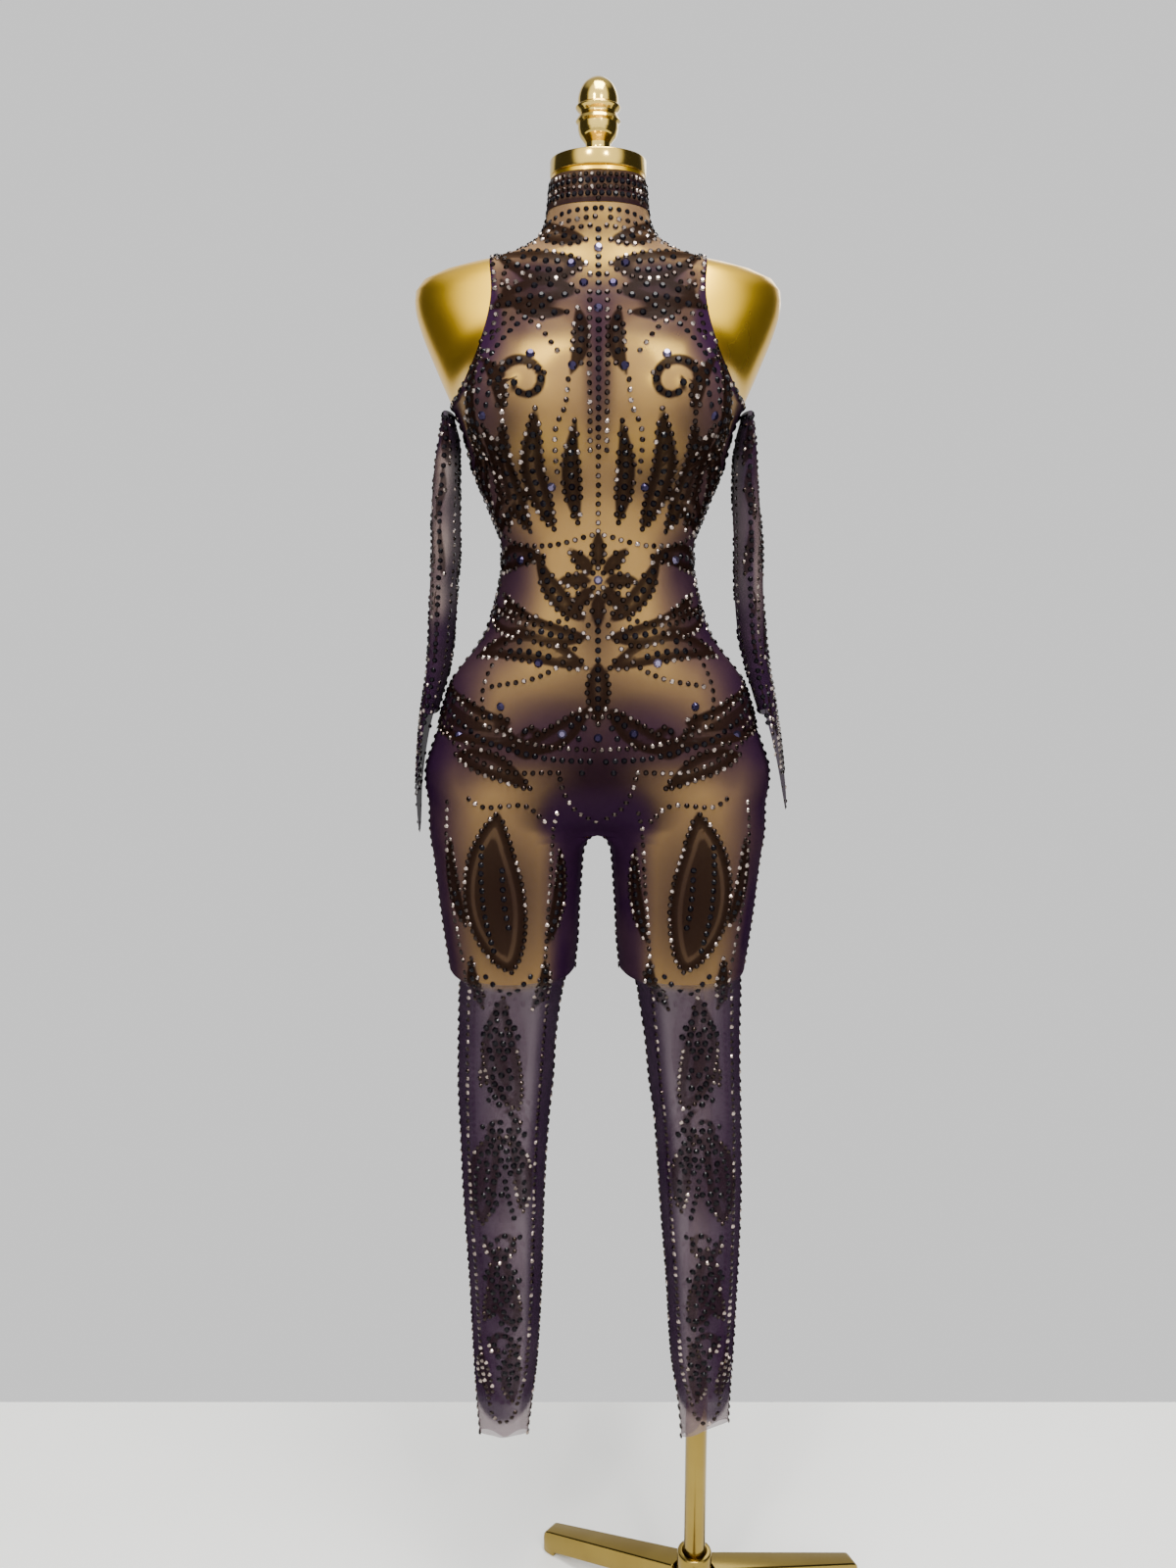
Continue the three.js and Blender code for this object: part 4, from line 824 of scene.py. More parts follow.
class Value:
    """A shader socket that takes part in Python expressions."""

    def __init__(self, tree: bpy.types.NodeTree, socket: bpy.types.NodeSocket) -> None:
        """Wraps a socket of a node tree."""
        self.tree, self.socket = tree, socket

    def _math(self, operation: str, *operands: "Value | float") -> "Value":
        """Adds a Math node on the operands and returns its result."""
        node = self.tree.nodes.new("ShaderNodeMath")
        node.operation = operation
        for target, operand in zip(node.inputs, operands):
            if isinstance(operand, Value):
                self.tree.links.new(operand.socket, target)
            else:
                target.default_value = operand
        return Value(self.tree, node.outputs[0])

    def __add__(self, other: "Value | float") -> "Value":
        """Returns the sum."""
        return self._math("ADD", self, other)

    def __mul__(self, other: "Value | float") -> "Value":
        """Returns the product."""
        return self._math("MULTIPLY", self, other)

    def __sub__(self, other: "Value | float") -> "Value":
        """Returns the difference."""
        return self._math("SUBTRACT", self, other)

    def __rsub__(self, other: "Value | float") -> "Value":
        """Returns the difference from a number."""
        return self._math("SUBTRACT", other, self)

    __radd__, __rmul__ = __add__, __mul__

    def sine(self) -> "Value":
        """Returns the sine."""
        return self._math("SINE", self)

    def ramp(self, low: float, high: float) -> "Value":
        """Returns 0 below low, 1 above high and a smooth ramp between."""
        node = self.tree.nodes.new("ShaderNodeMapRange")
        node.interpolation_type = "SMOOTHSTEP"
        self.tree.links.new(self.socket, node.inputs["Value"])
        node.inputs["From Min"].default_value = low
        node.inputs["From Max"].default_value = high
        return Value(self.tree, node.outputs["Result"])


Colour = tuple[float, float, float]


class Paint:
    """A node material in the making, around one Principled shader."""

    def __init__(self, name: str) -> None:
        """Starts the material."""
        self.material = bpy.data.materials.new(name)
        self.material.use_nodes = True
        self.tree = self.material.node_tree
        self.shader = self.tree.nodes["Principled BSDF"]

    def node(
        self, kind: str, settings: dict | None = None, inputs: dict | None = None, output: int | str = 0
    ) -> Value:
        """Adds a node.

        Args:
            kind: the node's type.
            settings: its settings, set first.
            inputs: values or links of its sockets, by name or number.
            output: the output that is returned.

        Returns:
            The chosen output.
        """
        node = self.tree.nodes.new(kind)
        for key, value in (settings or {}).items():
            setattr(node, key, value)
        for key, value in (inputs or {}).items():
            self._feed(node.inputs[key], value)
        return Value(self.tree, node.outputs[output])

    def _feed(self, target: bpy.types.NodeSocket, value: object) -> None:
        """Links a Value to a socket or sets a plain value on it."""
        if isinstance(value, Value):
            self.tree.links.new(value.socket, target)
        elif isinstance(value, tuple) and len(value) == 3 and target.type == "RGBA":
            target.default_value = (*value, 1.0)
        else:
            target.default_value = value

    def mix(self, factor: Value | float, first: Value | Colour, second: Value | Colour) -> Value:
        """Returns a colour between two, by a factor."""
        return self.node(
            "ShaderNodeMix", {"data_type": "RGBA"}, {0: factor, 6: first, 7: second}, output=2
        )

    def attribute(self, name: str) -> Value:
        """Returns a number stored on the piece's points."""
        return self.node("ShaderNodeAttribute", {"attribute_name": name}, output="Fac")

    def noise(self, scale: float, detail: float = 3.0) -> Value:
        """Returns noise in the piece's own space, scale in waves per metre."""
        place = self.node("ShaderNodeTexCoord", output="Object")
        return self.node(
            "ShaderNodeTexNoise", inputs={"Vector": place, "Scale": scale, "Detail": detail}, output="Fac"
        )

    def bump(self, height: Value, strength: float, depth: float) -> Value:
        """Returns a normal raised by a height."""
        return self.node(
            "ShaderNodeBump", inputs={"Height": height, "Strength": strength, "Distance": depth},
            output="Normal",
        )

    def dress(self, **sockets: object) -> bpy.types.Material:
        """Sets the shader's sockets, underscores standing for spaces, and returns the material."""
        for key, value in sockets.items():
            self._feed(self.shader.inputs[key.replace("_", " ")], value)
        return self.material


@dataclass(frozen=True)
class SheerMesh:
    """Stretch mesh: nude in the middle, shaded to aubergine at its sides, printed with soft dark motifs."""

    nude: Colour = (0.22, 0.138, 0.072)
    smoke: Colour = (0.17, 0.13, 0.15)
    aubergine: Colour = (0.014, 0.0045, 0.0165)
    umber: Colour = (0.0075, 0.0034, 0.0022)
    cell: float = 0.0011

    def material(self) -> bpy.types.Material:
        """Returns the cloth's material."""
        paint = Paint("sheer_mesh")
        ombre, umber, ink, hanging = (paint.attribute(n) for n in ("ombre", "umber", "ink", "hanging"))
        uv = paint.node("ShaderNodeUVMap", {"uv_map": "cut"})
        split = {"Vector": uv}
        across = paint.node("ShaderNodeSeparateXYZ", inputs=split, output="X")
        down = paint.node("ShaderNodeSeparateXYZ", inputs=split, output="Y")
        turn = 2 * math.pi / self.cell
        weave = ((across + down) * turn).sine() * ((across - down) * turn).sine() * 0.5 + 0.5
        edge = ink.ramp(-2.2, 1.0) * (1 - ink.ramp(4.0, 8.0) * 0.1)
        band = edge - ink.ramp(7.5, 9.5) * (1 - ink.ramp(12.0, 14.0)) * 0.4
        cloud = paint.noise(14.0)
        ground = paint.mix(hanging, self.nude, self.smoke)
        browned = paint.mix(umber * (0.9 + cloud * 0.16), ground, self.umber)
        shaded = paint.mix(ombre * (0.88 + cloud * 0.2), browned, self.aubergine)
        colour = paint.mix(band * (0.96 - hanging * 0.3), shaded, self.umber)
        clear = 0.54 + hanging * 0.1
        solid = clear + (1 - clear) * (ombre * (0.96 - hanging * 0.26))
        solid = solid + (1 - solid) * (umber * (0.94 - hanging * 0.2))
        solid = solid + (1 - solid) * (band * (0.88 - hanging * 0.38))
        alpha = solid * (0.96 + weave * 0.08)
        return paint.dress(
            Base_Color=colour,
            Alpha=alpha,
            Roughness=0.42 + cloud * 0.08,
            Specular_IOR_Level=0.0,
            Coat_Weight=0.022 - hanging * 0.022,
            Coat_Roughness=0.2,
            Normal=paint.bump(weave, 0.2, 0.0002),
        )


@dataclass(frozen=True)
class Gilt:
    """A gold surface: satin paint on the form, or polished plating on the metal."""

    name: str
    colour: Colour
    deep: Colour
    roughness: float
    metallic: float
    coat: float

    def material(self) -> bpy.types.Material:
        """Returns the gold's material."""
        paint = Paint(self.name)
        cloud, grain = paint.noise(9.0), paint.noise(900.0, 2.0)
        return paint.dress(
            Base_Color=paint.mix(cloud.ramp(0.3, 0.75), self.colour, self.deep),
            Metallic=self.metallic,
            Roughness=self.roughness + cloud * 0.08,
            Coat_Weight=self.coat,
            Coat_Roughness=0.05,
            Normal=paint.bump(grain, 0.06, 0.0001),
        )


@dataclass(frozen=True)
class Glass:
    """A foiled glass stone, each one a little lighter or darker."""

    name: str
    dark: Colour
    light: Colour
    metallic: float
    roughness: float
    specular: float = 0.3

    def material(self) -> bpy.types.Material:
        """Returns the stones' material."""
        paint = Paint(self.name)
        return paint.dress(
            Base_Color=paint.mix(paint.attribute("tint").ramp(0.55, 1.15), self.dark, self.light),
            Metallic=self.metallic,
            Roughness=self.roughness,
            Specular_IOR_Level=self.specular,
        )


@dataclass(frozen=True)
class Plain:
    """A quiet surface with a little uneven colour and grain."""

    name: str
    colour: Colour
    shade: Colour
    roughness: float
    metallic: float = 0.0
    grain: float = 600.0

    def material(self) -> bpy.types.Material:
        """Returns the material."""
        paint = Paint(self.name)
        cloud, grain = paint.noise(6.0), paint.noise(self.grain, 2.0)
        return paint.dress(
            Base_Color=paint.mix(cloud, self.colour, self.shade),
            Metallic=self.metallic,
            Roughness=self.roughness + grain * 0.08,
            Normal=paint.bump(grain, 0.08, 0.0001),
        )


# Rhinestones


class StoneKind(Enum):
    """The three stones that the suit is set with."""

    JET = Glass("jet_stone", (0.002, 0.0015, 0.0025), (0.005, 0.004, 0.006), 0.0, 0.06, 0.09)
    HEMATITE = Glass("hematite_stone", (0.02, 0.014, 0.012), (0.42, 0.34, 0.3), 0.95, 0.12)
    VIOLET = Glass("violet_stone", (0.02, 0.015, 0.04), (0.22, 0.19, 0.3), 0.8, 0.08)


@dataclass
class Stones:
    """Collects stones for one part of the suit, keeping them clear of each other, and makes their meshes."""

    name: str
    taken: dict = field(default_factory=dict)
    placed: dict = field(default_factory=lambda: {kind: [] for kind in StoneKind})
    cell: float = 12.0  # of the grid in which neighbours are looked up, wider than two stones
    sides: int = 8
    spacing: float = 1.04  # how much farther apart than touching two stones stay
    tilt: float = 0.11  # how unevenly the stones are glued
    rib_pitch: float = 9.2
    rib_radius: float = 3.5
    edge_pitch: float = 8.2
    edge_radius: float = 2.9

    def set(self, place: tuple[np.ndarray, np.ndarray] | None, radius: float, kind: StoneKind) -> bool:
        """Sets one stone unless its place is missing or taken.

        Returns:
            Whether the stone was set.
        """
        if place is None:
            return False
        point, normal = place
        key = tuple(int(c // self.cell) for c in point)
        for step in product((-1, 0, 1), repeat=3):
            near = (key[0] + step[0], key[1] + step[1], key[2] + step[2])
            for other, size in self.taken.get(near, ()):
                if np.linalg.norm(other - point) < (size + radius) * self.spacing:
                    return False
        self.taken.setdefault(key, []).append((point, radius))
        self.placed[kind].append((point, normal, radius))
        return True

    def row(
        self, find: Callable[[float, float], tuple | None], path: np.ndarray, pitch: float, radius: float,
        kind: StoneKind, closed: bool = False,
    ) -> None:
        """Sets stones along a path of pattern places, a pitch apart.

        Args:
            find: turns a pattern place into a point and direction.
            path: shape (n, 2).
            pitch: from stone to stone.
            radius: of a stone.
            kind: of stone.
            closed: whether the path returns to its start.
        """
        line = np.concatenate([path, path[:1]]) if closed else path
        run = np.concatenate([[0], np.cumsum(np.linalg.norm(np.diff(line, axis=0), axis=1))])
        count = max(2, round(run[-1] / pitch))
        for at in np.linspace(0, run[-1], count, endpoint=not closed):
            s, z = np.interp(at, run, line[:, 0]), np.interp(at, run, line[:, 1])
            self.set(find(s, z), radius, kind)

    def patch(
        self, find: Callable, middle: tuple[float, float], reach: tuple[float, float], radius: float
    ) -> None:
        """Scatters jets over an oval patch of pattern, a little unevenly.

        Args:
            find: turns a pattern place into a point and direction.
            middle: the oval's middle.
            reach: its half width and half height.
            radius: of a stone.
        """
        chance = np.random.default_rng(SEED)
        pitch = 2.7 * radius
        for row, column in product(range(-12, 13), range(-8, 9)):
            s, z = (column + 0.5 * (row % 2)) * pitch, row * pitch * 0.87
            shift = chance.normal(size=2) * 0.14 * pitch
            if math.hypot(s / reach[0], z / reach[1]) < 1:
                self.set(find(middle[0] + s + shift[0], middle[1] + z + shift[1]), radius, StoneKind.JET)

    def motif(self, find: Callable, motif: Motif, scale: float = 1.0) -> None:
        """Edges a motif with hematites and sets jets along its spine."""
        for path in motif.ribs():
            self.row(find, path, self.rib_pitch * scale, self.rib_radius * scale, StoneKind.JET)
        pitch, radius = self.edge_pitch * scale, self.edge_radius * scale
        self.row(find, motif.outline(), pitch, radius, StoneKind.HEMATITE, closed=True)

    def _template(self) -> tuple[np.ndarray, list]:
        """Returns a stone of radius 1: a round base, facets and a flat table."""
        turn = np.arange(self.sides) * 2 * np.pi / self.sides
        half = turn + np.pi / self.sides
        base = np.stack([np.cos(turn), np.sin(turn), np.zeros(self.sides)], axis=-1)
        table = np.stack([0.55 * np.cos(half), 0.55 * np.sin(half), np.full(self.sides, 0.55)], axis=-1)
        faces: list = [list(range(self.sides))[::-1], [self.sides + i for i in range(self.sides)]]
        for i in range(self.sides):
            j = (i + 1) % self.sides
            faces += [[i, j, self.sides + i], [j, self.sides + j, self.sides + i]]
        return np.concatenate([base, table]), faces

    def build(self) -> list[bpy.types.Object]:
        """Makes one piece for each kind of stone that was set."""
        made = []
        shape, faces = self._template()
        chance = np.random.default_rng(SEED)
        for kind, stones in self.placed.items():
            if not stones:
                continue
            points, all_faces, tints = [], [], []
            for number, (centre, normal, radius) in enumerate(stones):
                normal = normal + chance.normal(size=3) * self.tilt
                normal /= np.linalg.norm(normal)
                side = np.cross(normal, chance.normal(size=3))
                side /= np.linalg.norm(side)
                basis = np.stack([side, np.cross(normal, side), normal])
                points.append(centre + shape @ basis * radius)
                all_faces += [[c + number * len(shape) for c in face] for face in faces]
                tints += [chance.random()] * len(shape)
            piece = new_piece(f"{self.name}_{kind.name.lower()}", np.concatenate(points), all_faces)
            set_attribute(piece, "tint", np.array(tints))
            made.append(finish_piece(piece, GEM_MATERIALS[kind], "mesh_cloth"))
        return made


GEM_MATERIALS = {kind: kind.value.material() for kind in StoneKind}


def smooth_path(*corners: tuple[float, float]) -> np.ndarray:
    """Returns a soft curve through pattern places."""
    return soft_curve(corners, 12)


class StoneLine(NamedTuple):
    """A row of stones along a soft path."""

    path: np.ndarray
    pitch: float
    radius: float
    kind: StoneKind


H, J = StoneKind.HEMATITE, StoneKind.JET
TORSO_LINES = [
    StoneLine(smooth_path((3, 1611), (30, 1609), (52, 1604), (80, 1597)), 8.0, 2.8, J),
    StoneLine(smooth_path((3, 1603), (34, 1599), (60, 1591), (88, 1580)), 8.0, 2.9, H),
    StoneLine(smooth_path((8, 1594), (38, 1590), (70, 1580), (100, 1568)), 8.0, 2.9, H),
    StoneLine(smooth_path((0, 1590), (0, 1400)), 8.8, 3.3, J),
    StoneLine(smooth_path((8, 1545), (9, 1460), (8, 1380)), 8.2, 2.9, H),
    StoneLine(smooth_path((0, 1392), (0, 1312)), 8.2, 2.9, H),
    StoneLine(smooth_path((6, 1300), (50, 1290), (100, 1296), (150, 1330)), 8.2, 2.9, H),
    StoneLine(smooth_path((46, 1520), (82, 1492), (118, 1448), (126, 1404)), 9.0, 3.3, J),
    StoneLine(smooth_path((40, 1470), (60, 1496), (84, 1502), (104, 1484)), 8.2, 2.9, H),
    StoneLine(smooth_path((88, 1560), (96, 1520), (104, 1490)), 8.2, 2.9, H),
    StoneLine(smooth_path((30, 1452), (34, 1420), (44, 1396), (40, 1360)), 8.3, 2.9, H),
    StoneLine(smooth_path((104, 1470), (110, 1430), (120, 1400)), 9.0, 3.3, J),
    StoneLine(smooth_path((6, 1226), (60, 1212), (110, 1222), (150, 1252)), 8.2, 2.9, H),
    StoneLine(smooth_path((0, 1216), (0, 1130)), 9.0, 3.3, J),
    StoneLine(smooth_path((10, 1212), (30, 1180), (62, 1160), (110, 1150)), 8.3, 2.9, H),
    StoneLine(smooth_path((70, 1215), (100, 1190), (120, 1150), (118, 1110)), 8.3, 2.9, H),
    StoneLine(smooth_path((4, 1088), (60, 1092), (118, 1112), (190, 1160)), 8.2, 2.9, H),
    StoneLine(smooth_path((8, 1076), (60, 1080), (126, 1100), (206, 1146)), 9.0, 3.3, J),
    StoneLine(smooth_path((40, 1064), (96, 1066), (150, 1090), (220, 1130)), 8.2, 2.9, H),
    StoneLine(smooth_path((2, 1008), (24, 1024), (38, 1056), (34, 1094)), 8.2, 2.9, H),
    StoneLine(smooth_path((14, 1110), (22, 1090), (16, 1064)), 9.0, 3.3, J),
]
LEG_LINES = [
    StoneLine(smooth_path((-56, 1020), (-50, 940), (-42, 866)), 8.3, 2.9, H),
    StoneLine(smooth_path((66, 1030), (66, 940), (54, 860)), 8.3, 2.9, H),
    StoneLine(smooth_path((38, 1036), (20, 1028), (-20, 1030), (-44, 1012)), 8.3, 2.9, H),
    StoneLine(smooth_path((52, 846), (46, 760), (42, 640), (36, 500), (28, 380), (16, 318)), 8.3, 2.9, H),
    StoneLine(
        smooth_path((-48, 846), (-46, 760), (-42, 640), (-36, 500), (-28, 380), (-16, 318)), 8.3, 2.9, H
    ),
    StoneLine(smooth_path((-24, 846), (0, 826), (24, 846)), 8.6, 3.2, J),
    StoneLine(smooth_path((12, 812), (8, 760), (16, 700)), 8.6, 3.2, J),
    StoneLine(smooth_path((-12, 660), (-4, 610), (-14, 560)), 8.6, 3.2, J),
    StoneLine(smooth_path((10, 520), (4, 480), (12, 440)), 8.6, 3.2, J),
    StoneLine(smooth_path((-8, 410), (2, 380), (-6, 346)), 8.6, 3.2, J),
    StoneLine(smooth_path((-22, 668), (0, 650), (22, 668)), 8.6, 3.2, J),
    StoneLine(smooth_path((-20, 536), (0, 520), (20, 536)), 8.6, 3.2, J),
    StoneLine(smooth_path((-18, 408), (0, 392), (18, 408)), 8.6, 3.2, J),
    StoneLine(smooth_path((-20, 330), (-12, 302), (0, 292), (12, 302), (20, 330)), 7.6, 2.9, H),
]
# Where jets are scattered over the legs: an oval's middle, then its half width and half height
LEG_PATCHES = [
    ((6, 776), (20, 30)), ((-4, 640), (24, 34)), ((10, 588), (14, 18)), ((2, 486), (22, 32)),
    ((-5, 372), (15, 24)), ((4, 714), (15, 18)), ((-8, 432), (11, 14)),
]
SLEEVE_LINES = [
    StoneLine(smooth_path((0, 1416), (2, 1300), (0, 1200), (2, 1100)), 9.0, 2.8, J),
    StoneLine(smooth_path((22, 1416), (26, 1300), (26, 1200), (30, 1060)), 7.8, 2.4, H),
    StoneLine(smooth_path((-20, 1412), (-24, 1300), (-24, 1200), (-20, 1120)), 7.8, 2.4, H),
    StoneLine(smooth_path((62, 1400), (66, 1300), (64, 1200), (60, 1110)), 8.2, 2.4, H),
    StoneLine(smooth_path((-62, 1400), (-66, 1300), (-64, 1200), (-60, 1130)), 8.2, 2.4, H),
    StoneLine(smooth_path((-30, 1420), (0, 1420), (30, 1420)), 7.0, 2.8, J),
    StoneLine(smooth_path((-30, 1412), (0, 1410), (30, 1412)), 7.0, 2.4, H),
]
VIOLET_PLACES = [
    (0, 1572), (14, 1536), (66, 1466), (26, 1456), (118, 1410), (46, 1346), (0, 1256), (84, 1276), (60, 1174),
    (100, 1130), (36, 1104), (0, 1100), (150, 1100), (26, 1556), (0, 1512),
]


@dataclass
class Suit:
    """The jumpsuit: front, two backs, collar and two sleeves, with their stones."""

    skin: Skin
    cloth: bpy.types.Material
    pitch: float = 4.6
    columns: int = 46
    patch_radius: float = 3.7
    violet_radius: float = 4.8
    base_tint: float = 0.14  # of purple, where nothing else shades the mesh
    bare_hem: float = 16.0  # the print's end above the hem, in the middle of a leg
    hem_curve: float = 34.0  # how much higher the print ends at the leg's sides
    hem_fade: float = 14.0
    side_shade: Curve = field(
        default_factory=lambda: pair_curve(
            [
                (1600, 4), (1540, 8), (1500, 30), (1460, 66), (1420, 84), (1330, 82), (1268, 86), (1200, 116),
                (1100, 130), (1000, 124), (880, 104),
            ]
        )
    )

    def shade(self, q: Quarter) -> tuple[np.ndarray, np.ndarray]:
        """Returns the purple dye, deepest at the sides and the inner legs, and the brown dye."""
        z = q.points[..., 2]
        front = q.facing is Facing.FRONT
        side = 1 - smooth_step(0.0, 1.0, (q.side_arc / self.side_shade(z)) ** 1.25)
        reach = np.abs(q.leg_s) / np.maximum(np.abs(q.leg_s[:, [0, -1]]).min(axis=1)[:, None], 1)
        edges = smooth_step(0.3, 0.74, reach) * (1 - smooth_step(930, 1010, z))
        inner = smooth_step(0.2, 0.66, reach) * (q.leg_s < 0) * (1 - smooth_step(1000, 1070, z))
        on_torso = smooth_step(self.skin.crotch, self.skin.crotch + 20, z)
        veil = veil_at(PURPLE_FRONT if front else PURPLE_BACK, q.torso_s, z) * on_torso
        line = HEM_LEVEL[q.side] + self.bare_hem + self.hem_curve * np.clip(reach, 0, 1) ** 2
        hem = smooth_step(line, line + self.hem_fade, z)
        low = 0.3 * (1 - smooth_step(THIGH_END - 20, THIGH_END, z))
        base = np.full(z.shape, self.base_tint)
        ombre = np.maximum.reduce([side, edges, inner, veil, low, base]) * (0.1 + 0.9 * hem)
        brown = veil_at(UMBER_FRONT if front else UMBER_BACK, q.torso_s, z) * on_torso
        crotch = np.exp(-((np.abs(q.points[..., 0]) / 40) ** 2) - ((z - 985) / 40) ** 2)
        return np.clip(ombre, 0, 1), np.maximum.reduce([brown, veil_at(UMBER_LEG, q.leg_s, z), crotch])

    def hanging(self, q: Quarter) -> np.ndarray:
        """Returns how freely each point of the cloth hangs: 0 on the form, a little less at the bare hem."""
        z = q.points[..., 2]
        bare = 1 - smooth_step(HEM_LEVEL[q.side] + 30, HEM_LEVEL[q.side] + 60, z)
        return smooth_step(0, 12, THIGH_END - z) * (1 - 0.1 * bare)

    def print_depth(self, q: Quarter, torso: Sequence[Motif]) -> np.ndarray:
        """Returns the printed design's ink on a quarter."""
        z = q.points[..., 2]
        upper = np.where(z > self.skin.crotch + 1, ink_at(torso, q.torso_s, z), NO_INK)
        lower = np.where(z < 1040, ink_at(LEG, q.leg_s, z), NO_INK)
        return np.maximum(upper, lower)

    def panel(self, name: str, quarters: Sequence[Quarter], torso: Sequence[Motif]) -> bpy.types.Object:
        """Makes one panel of the suit from its quarters."""
        piece = quarters_piece(f"{name}_cloth", quarters)
        shades = [self.shade(q) for q in quarters]
        purple, brown = (flatten(shade[i] for shade in shades) for i in (0, 1))
        ink = flatten(self.print_depth(q, torso) for q in quarters)
        drop = flatten(self.hanging(q) for q in quarters)
        dye(piece, dyed(purple), dyed(brown), ink, drop)
        across = flatten(q.torso_s * q.side.value for q in quarters)
        set_uv(piece, across, flatten(q.points[..., 2] for q in quarters))
        weld(piece)
        piece.data.shade_smooth()
        return finish_piece(piece, self.cloth, "mesh_cloth", name)

    def set_stones(self, stones: Stones, q: Quarter, torso: Sequence[Motif]) -> None:
        """Sets the stones of one quarter."""
        back = q.facing is Facing.BACK
        crotch = self.skin.crotch

        def on_torso(s: float, z: float) -> tuple | None:
            return q.locate(abs(s), z, False) if z > crotch + 4 and not (back and abs(s) < 9) else None

        def on_leg(s: float, z: float) -> tuple | None:
            return q.locate(s, z, True) if z < 1045 else None

        for s, z in VIOLET_PLACES:
            stones.set(on_torso(s, z), self.violet_radius, StoneKind.VIOLET)
        for line in TORSO_LINES:
            stones.row(on_torso, line.path, line.pitch, line.radius, line.kind)
        for motif in torso:
            stones.motif(on_torso, motif)
        for middle, reach in LEG_PATCHES:
            stones.patch(on_leg, middle, reach, self.patch_radius)
        for line in LEG_LINES:
            stones.row(on_leg, line.path, line.pitch, line.radius, line.kind)
        for motif in LEG:
            stones.motif(on_leg, motif, 0.94)
        for column, low, high, inset, kind in (
            (0, 0, 2000, 3.6, H), (0, 1180, 2000, 10.6, J), (0, 1180, 1560, 17.4, H),
            (0, 1190, 1400, 24.0, H), (-1, 0, crotch - 3, 3.6, H),
        ):
            rows = [i for i in range(len(q.levels)) if low < q.levels[i] < high]
            self._seam_row(stones, q, column, rows, inset, kind)

    def _seam_row(
        self, stones: Stones, q: Quarter, column: int, rows: Iterable[int], inset: float, kind: StoneKind
    ) -> None:
        """Sets a row of stones beside a seam or an edge, by the grid's rows.

        Args:
            stones: the stones of the panel.
            q: the quarter.
            column: the grid column at the seam, first or last.
            rows: the grid rows to follow.
            inset: from the seam to the stones' middles.
            kind: of stone.
        """
        radius = 3.3 if kind is StoneKind.JET else 2.9
        last = None
        for i in rows:
            arc = np.abs(q.side_arc[i] - q.side_arc[i, column])
            order = slice(None) if column == 0 else slice(None, None, -1)
            at = float(np.interp(inset, arc[order], np.arange(len(arc))[order]))
            j = min(int(at), len(arc) - 2)
            point = q.points[i, j] + (q.points[i, j + 1] - q.points[i, j]) * (at - j)
            if last is None or np.linalg.norm(point - last) > 2.9 * radius:
                stones.set((point, q.normals[i, j]), radius, kind)
                last = point

    def build_panels(self) -> None:
        """Makes the front and the backs, and sets their stones."""
        quarters = {}
        for side in Side:
            levels = body_levels(self.skin, COLLAR_BOTTOM, HEM_LEVEL[side], self.pitch)
            for facing in Facing:
                quarters[side, facing] = Quarter(
                    self.skin, side, facing, levels, self.columns, CLOTH_REST, True, LEG_FOLDS
                )
        plan = {
            "front": ([quarters[Side.RIGHT, Facing.FRONT], quarters[Side.LEFT, Facing.FRONT]], FRONT_TORSO),
            "back_left": ([quarters[Side.LEFT, Facing.BACK]], BACK_TORSO),
            "back_right": ([quarters[Side.RIGHT, Facing.BACK]], BACK_TORSO),
        }
        for name, (parts, torso) in plan.items():
            piece = self.panel(name, parts, torso)
            stones = Stones(f"{name}_stones")
            for q in parts:
                self.set_stones(stones, q, torso)
            stones.build()


